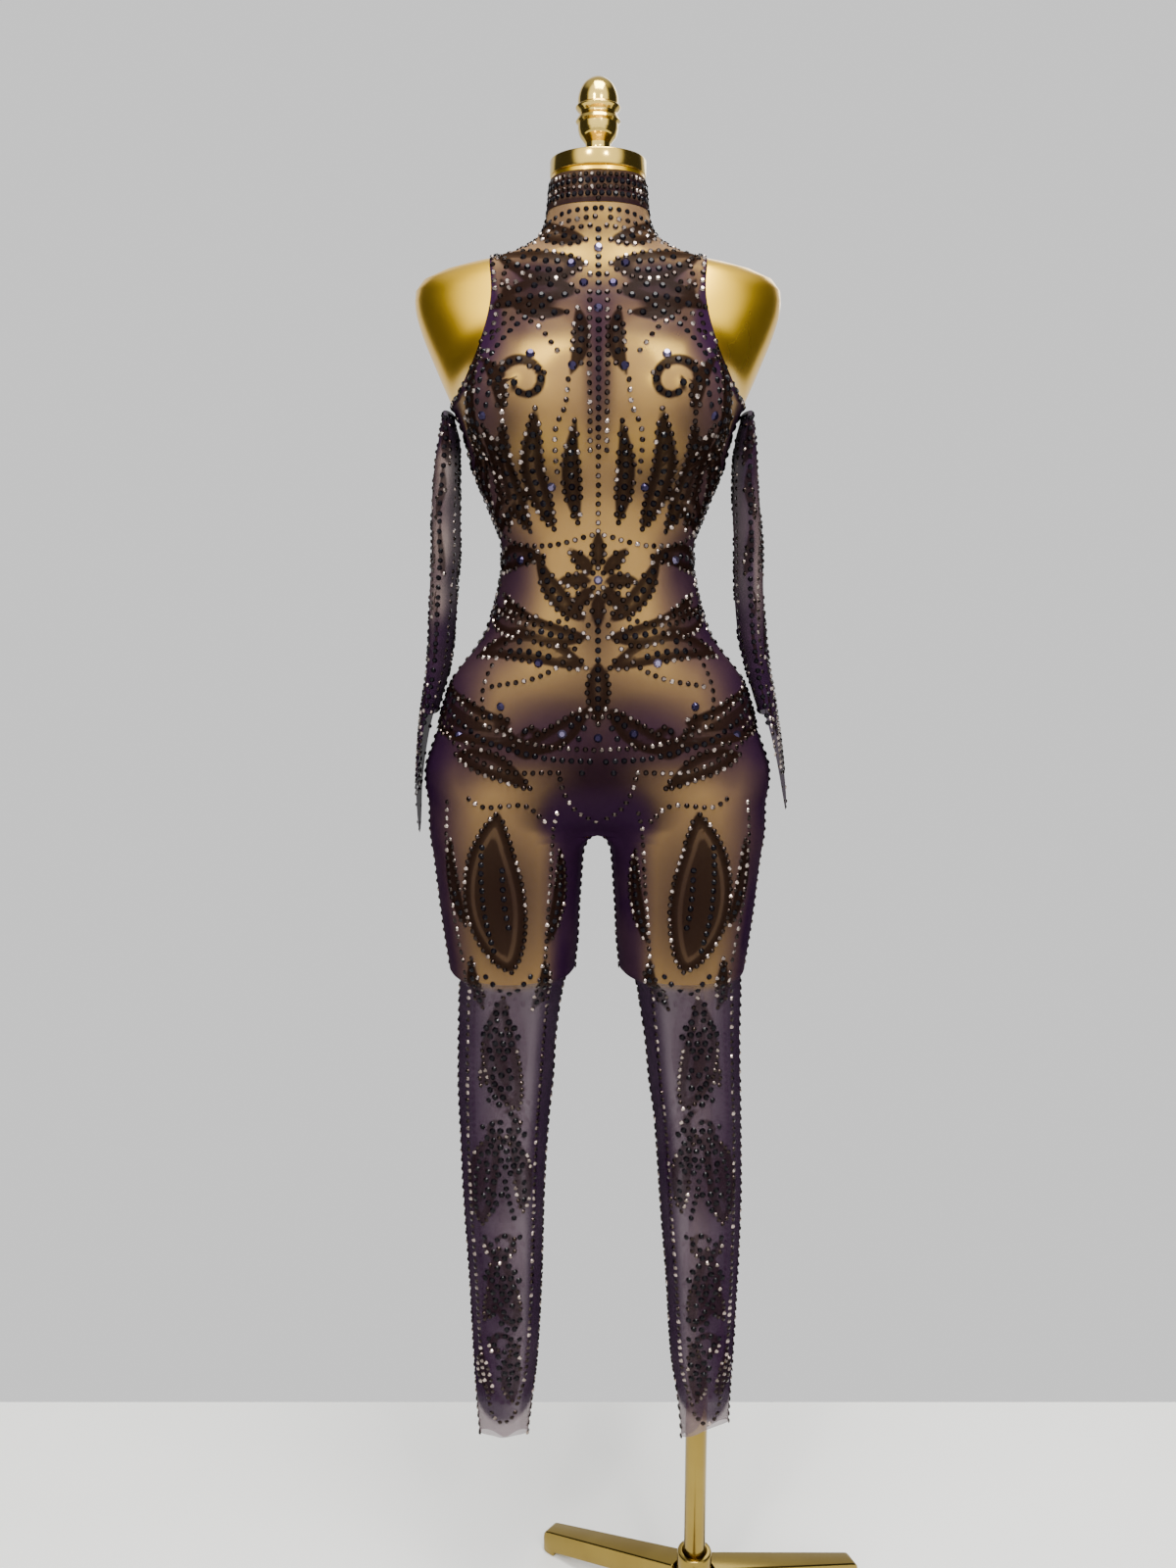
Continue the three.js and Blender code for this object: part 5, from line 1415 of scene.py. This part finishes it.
class Sleeve:
    """A sleeve: a flattened tube that hangs from the underarm and ends in a hand point on its outer side."""

    def __init__(self, skin: Skin, side: Side, rows: int = 130, columns: int = 64) -> None:
        """Args:
            skin: the skin, for the underarm's place.
            side: the wearer's side.
            rows: grid rows down the sleeve.
            columns: grid points round it.
        """
        centre = float(skin.torso["half"](UNDERARM)) + SLEEVE_CLEARANCE + SLEEVE_TOP_HALF
        self.side = side
        self.table = table_curves([Hang(UNDERARM, centre, SLEEVE_TOP_HALF, 34, 0, 0), *SLEEVE[side]])
        angle = np.arange(columns) * 2 * np.pi / columns
        toward_point = np.clip((np.cos(angle) + 0.2) / 1.2, 0, 1) ** 1.3
        bottom = CUFF_LEVEL - (CUFF_LEVEL - HAND_POINT[side]) * toward_point
        share = np.linspace(0, 1, rows)[:, None]
        self.z = UNDERARM + (bottom - UNDERARM) * share
        self.angle = np.broadcast_to(angle, self.z.shape)
        self.points = self._point(self.z, self.angle)
        around = self._point(self.z, self.angle + 0.01) - self.points
        down = self._point(self.z - 1, self.angle) - self.points
        out = -np.cross(around, down) * side.value
        self.normals = out / np.linalg.norm(out, axis=-1, keepdims=True)
        self.points = self.points - self.normals * fold_depth(SLEEVE_FOLDS, self.z, self.angle)[..., None]
        step = np.linalg.norm(np.diff(self.points, axis=1, append=self.points[:, :1]), axis=-1)
        arc = np.concatenate([np.zeros((rows, 1)), np.cumsum(step, axis=1)[:, :-1]], axis=1)
        self.girth = step.sum(axis=1)
        front = arc[:, 3 * columns // 4][:, None]
        self.s = (arc - front + self.girth[:, None] / 2) % self.girth[:, None] - self.girth[:, None] / 2

    def _point(self, z: np.ndarray, angle: np.ndarray) -> np.ndarray:
        """Returns the sleeve's points at levels and angles, 0 being the outer side."""
        t, sign = self.table, self.side.value
        turn = np.radians(t["turn"](z)) * sign
        x, y = t["half"](z) * np.cos(angle) * sign, t["deep"](z) * np.sin(angle)
        return np.stack(
            [
                t["centre"](z) * sign + x * np.cos(turn) - y * np.sin(turn),
                t["y"](z) + x * np.sin(turn) + y * np.cos(turn),
                z + 0 * x,
            ],
            axis=-1,
        )

    def locate(self, s: float, z: float) -> tuple[np.ndarray, np.ndarray] | None:
        """Returns the point and direction nearest to a place of the pattern, or None off the sleeve."""
        gap = np.hypot(self.s - s, self.points[..., 2] - z)
        i, j = np.unravel_index(np.argmin(gap), gap.shape)
        return None if gap[i, j] > 4 else (self.points[i, j], self.normals[i, j])

    def build(self, cloth: bpy.types.Material) -> None:
        """Makes the sleeve's cloth and its stones."""
        name = f"sleeve_{self.side.name.lower()}"
        rows, columns = self.s.shape
        faces = grid_faces(rows, columns, 0, self.side.value > 0, closed=True)
        piece = new_piece(f"{name}_cloth", self.points.reshape(-1, 3), faces)
        piece.data.shade_smooth()
        z = self.points[..., 2]
        outer = 0.1 + smooth_step(0.3, 0.95, np.abs(np.cos(self.angle))) * 0.5
        low = 1 - smooth_step(1150, 1250, z)
        patches = veil_at(SLEEVE_VEILS[self.side], self.s, z)
        ombre = np.clip(outer + 0.9 * low + smooth_step(1370, 1415, z) + patches, 0, 1)
        dye(piece, dyed(ombre), np.zeros(z.shape), ink_at(SLEEVE_MOTIFS, self.s, z), np.full(z.shape, 0.55))
        set_uv(piece, self.s, z)
        finish_piece(piece, cloth, "mesh_cloth", name)
        stones = Stones(f"{name}_stones")
        for line in SLEEVE_LINES:
            stones.row(self.locate, line.path, line.pitch, line.radius, line.kind)
        for motif in SLEEVE_MOTIFS:
            stones.motif(self.locate, motif, 0.85)
        cuff = [(-2, j, 2.2) for j in range(0, columns, 3)]
        edge = [
            (i, j, 2.7) for j in range(-6, 7, 3)
            for i in np.flatnonzero((z[:, j] < 1190) & (z[:, j] > HAND_POINT[self.side] + 40))
        ]
        for i, j, radius in cuff + edge:
            stones.set((self.points[i, j], self.normals[i, j]), radius, StoneKind.HEMATITE)
        stones.build()


SLEEVE_VEILS = {
    Side.RIGHT: [Veil(0, 1330, 20, 22, 0.4), Veil(12, 1262, 20, 18, 0.35), Veil(0, 1200, 24, 24, 0.45)],
    Side.LEFT: [Veil(0, 1360, 14, 40, 0.9), Veil(0, 1280, 14, 50, 0.9), Veil(0, 1210, 18, 40, 0.9)],
}
SLEEVE_FOLDS = [
    Fold(1392, 4.4, 16, 0.5, 2.6, 0.01), Fold(1352, 4.9, 12, 0.6, 2.4, -0.012),
    Fold(1318, 4.5, 14, 0.5, 2.2, 0.012), Fold(1276, 4.8, 12, 0.5, 2.4, -0.01),
    Fold(1240, 4.5, 12, 0.6, 2.2, 0.014), Fold(1202, 4.9, 10, 0.5, 2.2, -0.012),
    Fold(1176, 4.6, 8, 0.6, 2.4, 0.01), Fold(1150, 4.8, 8, 0.6, 2.4, -0.01),
    Fold(1126, 4.6, 8, 0.6, 2.2, 0.01), Fold(1340, 0.5, 40, 0.4, 2.0, 0.004),
    Fold(1250, 0.2, 40, 0.4, 2.0, -0.004), Fold(1180, 1.6, 30, 0.5, 2.2, 0.006),
    Fold(1300, 1.4, 36, 0.4, 2.0, -0.005),
]


@dataclass
class Collar:
    """The mock-neck band with its rows of stones."""

    skin: Skin
    rows: int = 9
    columns: int = 26
    stone_rows: tuple[float, ...] = (1643.5, 1637.5, 1631.5, 1625.5, 1620.5)

    def build(self, cloth: bpy.types.Material) -> None:
        """Makes the band and its stones."""
        levels = np.linspace(COLLAR_TOP, COLLAR_BOTTOM + 0.3, self.rows)
        quarters = [
            Quarter(self.skin, side, facing, levels, self.columns, CLOTH_REST + 0.2)
            for side, facing in product(Side, Facing)
        ]
        piece = quarters_piece("collar_cloth", quarters)
        z = flatten(q.points[..., 2] for q in quarters)
        lines = np.cos((z - self.stone_rows[0]) / 6.0 * 2 * np.pi)
        purple, no_ink = np.full(z.shape, 0.25), np.full(z.shape, NO_INK)
        dye(piece, purple, dyed(0.72 - 0.26 * lines), no_ink, np.zeros(z.shape))
        set_uv(piece, flatten(q.torso_s * q.side.value for q in quarters), z)
        weld(piece)
        piece.data.shade_smooth()
        finish_piece(piece, cloth, "mesh_cloth", "collar")
        stones = Stones("collar_stones", cell=8.0)
        for number, level in enumerate(self.stone_rows):
            kind, radius = (J, 3.0) if number % 2 else (H, 2.5)
            pitch = 6.8 if number % 2 else 6.0
            for q in quarters:
                low = 7.0 if q.facing is Facing.BACK else 0.0
                length = float(q.torso_s[0, 0])
                for s in np.arange(low + (number % 2) * pitch / 2, length, pitch):
                    stones.set(q.locate(float(s), level, False), radius, kind)
        stones.build()


@dataclass
class DressForm:
    """The limbless form: a smooth gold skin, closed at its neck and its two thigh ends."""

    skin: Skin
    columns: int = 44
    pitch: float = 5.0

    def build(self, gilt: bpy.types.Material) -> None:
        """Makes the form from the same skin as the cloth."""
        quarters = []
        for side in Side:
            levels = np.concatenate([[NECK_TOP], body_levels(self.skin, 1648.0, THIGH_END, self.pitch)])
            for facing in Facing:
                quarters.append(Quarter(self.skin, side, facing, levels, self.columns, FORM_SKIN))
        piece = quarters_piece("form_skin", quarters)
        weld(piece)
        self._close(piece)
        piece.data.shade_smooth()
        activate(piece)
        bpy.ops.object.shade_smooth_by_angle(angle=math.radians(50))
        finish_piece(piece, gilt, "form_skin", "form")

    def _close(self, piece: bpy.types.Object) -> None:
        """Closes the neck and the two thigh ends with flat faces."""
        activate(piece)
        bpy.ops.object.mode_set(mode="EDIT")
        bpy.ops.mesh.select_mode(type="EDGE")
        bpy.ops.mesh.select_all(action="DESELECT")
        bpy.ops.mesh.select_non_manifold(
            extend=False, use_boundary=True, use_wire=False, use_multi_face=False
        )
        bpy.ops.mesh.edge_face_add()
        bpy.ops.object.mode_set(mode="OBJECT")


def run(points: Sequence[tuple[float, float]]) -> list[tuple[float, float]]:
    """Returns a soft curve through a run of profile points, or a straight line between two."""
    return [tuple(p) for p in (points if len(points) < 3 else soft_curve(points, 5))]


FINIAL_RUNS = [
    [(0, 0), (14.6, 0)], [(14.6, 0), (15.4, 1.6), (15.0, 5.5)],
    [(15.0, 5.5), (13, 8), (12.3, 11), (12.6, 15.6)], [(12.6, 15.6), (14.8, 18.5), (18.2, 23), (19.9, 28.6)],
    [(19.9, 28.6), (20, 33.8)], [(20, 33.8), (22.2, 36.2)],
    [(22.2, 36.2), (20.7, 39.2), (18.5, 42.6), (18.6, 44.4)],
    [(18.6, 44.4), (21.4, 47.6), (22.2, 49.6), (20, 51.6)],
    [(20, 51.6), (19.8, 58), (18.2, 64.5), (14.5, 71), (9, 75.6), (4, 77.6), (0, 78)],
]


@dataclass
class Stand:
    """The polished neck cap, finial, pole, socket, hub and the three legs of the base."""

    steps: int = 72

    def _spun(self, name: str, profile: Sequence[tuple[float, float]], node: str) -> bpy.types.Object:
        """Spins a profile of radius and height about the node's own upright axis.

        Args:
            name: the piece's name.
            profile: pairs in millimetres from the node's foot, starting and ending on the axis.
            node: the CAD node that the piece stands for.
        """
        low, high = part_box(node)
        centre = ((low.x + high.x) / 2, (low.y + high.y) / 2, 0.0)
        points = [(centre[0] + r * MM, centre[1], low.z + z * MM) for r, z in profile]
        mesh = bpy.data.meshes.new(name)
        mesh.from_pydata(points, [(i, i + 1) for i in range(len(points) - 1)], [])
        piece = link(name, mesh)
        activate(piece)
        bpy.ops.object.mode_set(mode="EDIT")
        bpy.ops.mesh.select_all(action="SELECT")
        bpy.ops.mesh.spin(steps=self.steps, angle=2 * math.pi, center=centre, axis=(0, 0, 1))
        bpy.ops.mesh.select_all(action="SELECT")
        bpy.ops.mesh.remove_doubles(threshold=0.00002)
        bpy.ops.mesh.normals_make_consistent(inside=False)
        bpy.ops.object.mode_set(mode="OBJECT")
        bpy.ops.object.shade_smooth_by_angle(angle=math.radians(32))
        return piece

    def _rounded(self, name: str, node: str, width: float) -> bpy.types.Object:
        """Copies a CAD node's mesh and rounds its edges."""
        piece = link(name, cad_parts[node].data.copy())
        activate(piece)
        bpy.ops.object.mode_set(mode="EDIT")
        bpy.ops.mesh.select_all(action="SELECT")
        bpy.ops.mesh.remove_doubles(threshold=0.00001)
        bpy.ops.mesh.dissolve_limited(angle_limit=math.radians(2))
        bpy.ops.object.mode_set(mode="OBJECT")
        bevel = piece.modifiers.new("edges", "BEVEL")
        bevel.width, bevel.segments, bevel.limit_method = width * MM, 3, "ANGLE"
        bevel.angle_limit = math.radians(28)
        bpy.ops.object.modifier_apply(modifier=bevel.name)
        bpy.ops.object.shade_smooth_by_angle(angle=math.radians(30))
        return piece

    def build(self, polished: bpy.types.Material, shaded_gold: bpy.types.Material) -> None:
        """Makes and dresses every piece of the stand, its pole and base in a darker copy of the gold: painted
        shade for the dimmer surroundings that they reflect.
        """
        finial = [p for points in FINIAL_RUNS for p in run(points)]
        cap = [(0, 0), (46.6, 0), *run([(46.6, 0), (47.6, 0.4), (48, 1.4)]), (48, 13.6)]
        cap += [*run([(48, 13.6), (47.6, 14.8), (46.4, 15.2)]), (40, 15.3), (39.4, 15.6), (0, 15.6)]
        low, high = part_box("pole")
        height = (high.z - low.z) / MM
        tube = [(0, 0), (12.7, 0), (12.7, height), (0, height)]
        hub = [(0, 0), (20, 0), (20.5, 0.6), (20.5, 50), (19.7, 50.4), (19.7, 51.6), (20.5, 52), (20.5, 70.6)]
        hub += [*run([(20.5, 70.6), (19.6, 72.4), (18.2, 73)]), (15.2, 73), (13.2, 71.4), (13.1, 6), (0, 6)]
        socket = [(0, 31), (13.1, 31), (13.1, 0), (16.4, 0), (17, 0.8), (17, 31), (23.4, 31), (24, 31.6)]
        socket += [(24, 35.4), (23.4, 36), (0, 36)]
        for name, node, profile, gold in (
            ("finial_turned", "finial", finial, polished), ("neck_cap_turned", "neck_cap", cap, polished),
            ("pole_tube", "pole", tube, shaded_gold), ("base_hub_turned", "base_hub", hub, shaded_gold),
            ("pole_socket_turned", "pole_socket", socket, polished),
        ):
            finish_piece(self._spun(name, profile, node), gold, "polished_gold", node)
        for name in ("left", "right", "front"):
            node = f"base_leg_{name}"
            finish_piece(self._rounded(f"{node}_cast", node, 2.2), shaded_gold, "polished_gold", node)


@dataclass
class Zip:
    """The centre-back zip: its tape, a row of teeth on each edge of the seam, the slider and the pull."""

    skin: Skin
    top: float = 1644.0
    bottom: float = 1208.0
    pitch: float = 2.8
    tooth: tuple[float, float, float] = (1.5, 0.55, 0.9)  # half sizes: across, out and down
    aside: float = 0.9  # from the seam to a tooth's middle
    lift: float = 2.95  # from the form's skin to a tooth's middle

    def build(self, metal: bpy.types.Material, tape: bpy.types.Material) -> None:
        """Dresses the zip's nodes and adds the teeth."""
        for node, material in (("zip_strip", tape), ("zip_slider", metal), ("zip_pull", metal)):
            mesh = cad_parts[node].data
            mesh.materials.clear()
            mesh.materials.append(material)
        levels = np.arange(self.top, self.bottom, -self.pitch)
        end = self.skin.centre_angle(levels, Side.LEFT, Facing.BACK)
        points = self.skin.cast(levels, end, Side.LEFT, Facing.BACK)
        normals = self.skin.normal(points, Side.LEFT)
        half = np.array(self.tooth)
        corners = np.array([[i, j, k] for i in (-1, 1) for j in (-1, 1) for k in (-1, 1)], float)
        quads = [[0, 1, 3, 2], [4, 6, 7, 5], [0, 4, 5, 1], [2, 3, 7, 6], [0, 2, 6, 4], [1, 5, 7, 3]]
        cloud, faces = [], []
        for number, (p, n) in enumerate(zip(points, normals)):
            aside = self.aside if number % 2 else -self.aside
            n = np.array([0.0, n[1], n[2]]) / math.hypot(n[1], n[2])
            centre = np.array([aside, p[1], p[2]]) + n * self.lift
            basis = np.stack([np.array([1.0, 0, 0]), n, np.cross([1.0, 0, 0], n)])
            cloud.append(centre + (corners * half) @ basis)
            faces += [[c + 8 * number for c in quad] for quad in quads]
        piece = new_piece("zip_teeth", np.concatenate(cloud), faces)
        finish_piece(piece, metal, "zip_metal")


class Lamp(NamedTuple):
    """A square, soft light: its place and target in metres, its side and its power in watts."""

    name: str
    place: tuple[float, float, float]
    target: tuple[float, float, float]
    size: float
    power: float
    colour: Colour


LAMPS = [
    Lamp("key", (-0.8, -1.8, 2.5), (0, 0, 1.15), 0.22, 18, (1.0, 0.98, 0.95)),
    Lamp("second", (0.62, -2.0, 2.4), (0, 0, 1.05), 0.2, 13, (1.0, 0.98, 0.96)),
    Lamp("ceiling", (0.1, -0.7, 3.1), (0.1, -0.1, 0), 1.1, 106, (1.0, 0.99, 0.96)),
    Lamp("back", (0.8, 2.4, 2.6), (0, 0, 1.1), 1.4, 18, (1.0, 1.0, 1.0)),
]


@dataclass
class Studio:
    """The floor, the light and the camera at the photograph's place."""

    camera_height: float = 1.26
    camera_distance: float = 1.35
    camera_aside: float = -0.010
    pitch_down: float = 9.28
    focal_pixels: float = 1297.0
    frame_height: float = 1600.0
    sensor: float = 36.0
    floor_size: float = 8.0
    wall_at: float = 0.475  # where the floor ends, behind the suit

    def camera(self) -> None:
        """Places the camera."""
        data = bpy.data.cameras.new("camera")
        data.sensor_width = self.sensor
        data.lens = self.sensor * self.focal_pixels / self.frame_height
        data.clip_start = 0.05
        camera = link("camera", data)
        place = row_point(np.array([0.0, 0.0, 0.0]))
        camera.location = (
            place[0] + self.camera_aside, place[1] - self.camera_distance, self.camera_height
        )
        camera.rotation_euler = (math.radians(90 - self.pitch_down), 0, 0)
        bpy.context.scene.camera = camera

    def build(self) -> None:
        """Makes the floor and the lights."""
        place = (0, self.wall_at - self.floor_size / 2, -0.0005)
        bpy.ops.mesh.primitive_plane_add(size=self.floor_size, location=place)
        floor = bpy.context.object
        floor.name = "floor"
        floor.data.materials.append(Plain("pale_floor", (0.95, 0.95, 0.92), (0.9, 0.9, 0.87), 0.5).material())
        for lamp in LAMPS:
            data = bpy.data.lights.new(lamp.name, "AREA")
            data.size, data.energy, data.color = lamp.size, lamp.power, lamp.colour
            light = link(lamp.name, data)
            light.location = lamp.place
            aim = Vector(lamp.target) - Vector(lamp.place)
            light.rotation_euler = aim.to_track_quat("-Z", "Y").to_euler()
        self._surroundings()

    def _surroundings(self) -> None:
        """Makes the world: a pale wall behind, a bright room in front and above, and dim sides."""
        world = bpy.data.worlds.new("studio")
        bpy.context.scene.world = world
        world.use_nodes = True
        tree = world.node_tree
        place = tree.nodes.new("ShaderNodeTexCoord")
        split = tree.nodes.new("ShaderNodeSeparateXYZ")
        tree.links.new(place.outputs["Generated"], split.inputs["Vector"])
        depth, height = (Value(tree, split.outputs[axis]) for axis in ("Y", "Z"))
        room = (height * 0.34 - depth * 0.94).ramp(0.44, 0.76) * 2.3 + height.ramp(0.62, 0.86) * 0.6
        light = depth.ramp(0.5, 0.68) * 0.88 + room + 0.06
        tree.links.new(light.socket, tree.nodes["Background"].inputs["Color"])


def main() -> None:
    """Builds everything in order."""
    logging.basicConfig(level=logging.INFO, format="%(message)s")
    skin = Skin()
    studio = Studio()
    studio.camera()
    studio.build()
    cloth = SheerMesh().material()
    form_gold = Gilt("form_gold", (1.0, 0.61, 0.03), (0.94, 0.54, 0.02), 0.25, 1.0, 0.3).material()
    polished = Gilt("polished_gold", (0.7, 0.5, 0.12), (0.6, 0.4, 0.08), 0.1, 1.0, 0.0).material()
    # The stand's pole, hub and base legs: the same gold made darker, painted shade for the dimmer surroundings
    # they reflect low down
    shaded_gold = Gilt("stand_gold_painted_shade", (0.26, 0.185, 0.045), (0.2, 0.135, 0.03), 0.16, 1.0, 0.0).material()
    metal = Plain("zip_metal", (0.12, 0.1, 0.12), (0.07, 0.06, 0.07), 0.3, 0.9).material()
    tape = Plain("zip_tape", (0.03, 0.014, 0.03), (0.02, 0.01, 0.022), 0.8, 0.0, 1400.0).material()
    DressForm(skin).build(form_gold)
    Stand().build(polished, shaded_gold)
    Suit(skin, cloth).build_panels()
    for side in Side:
        Sleeve(skin, side).build(cloth)
    Collar(skin).build(cloth)
    Zip(skin).build(metal, tape)


if __name__ == "__main__":
    main()
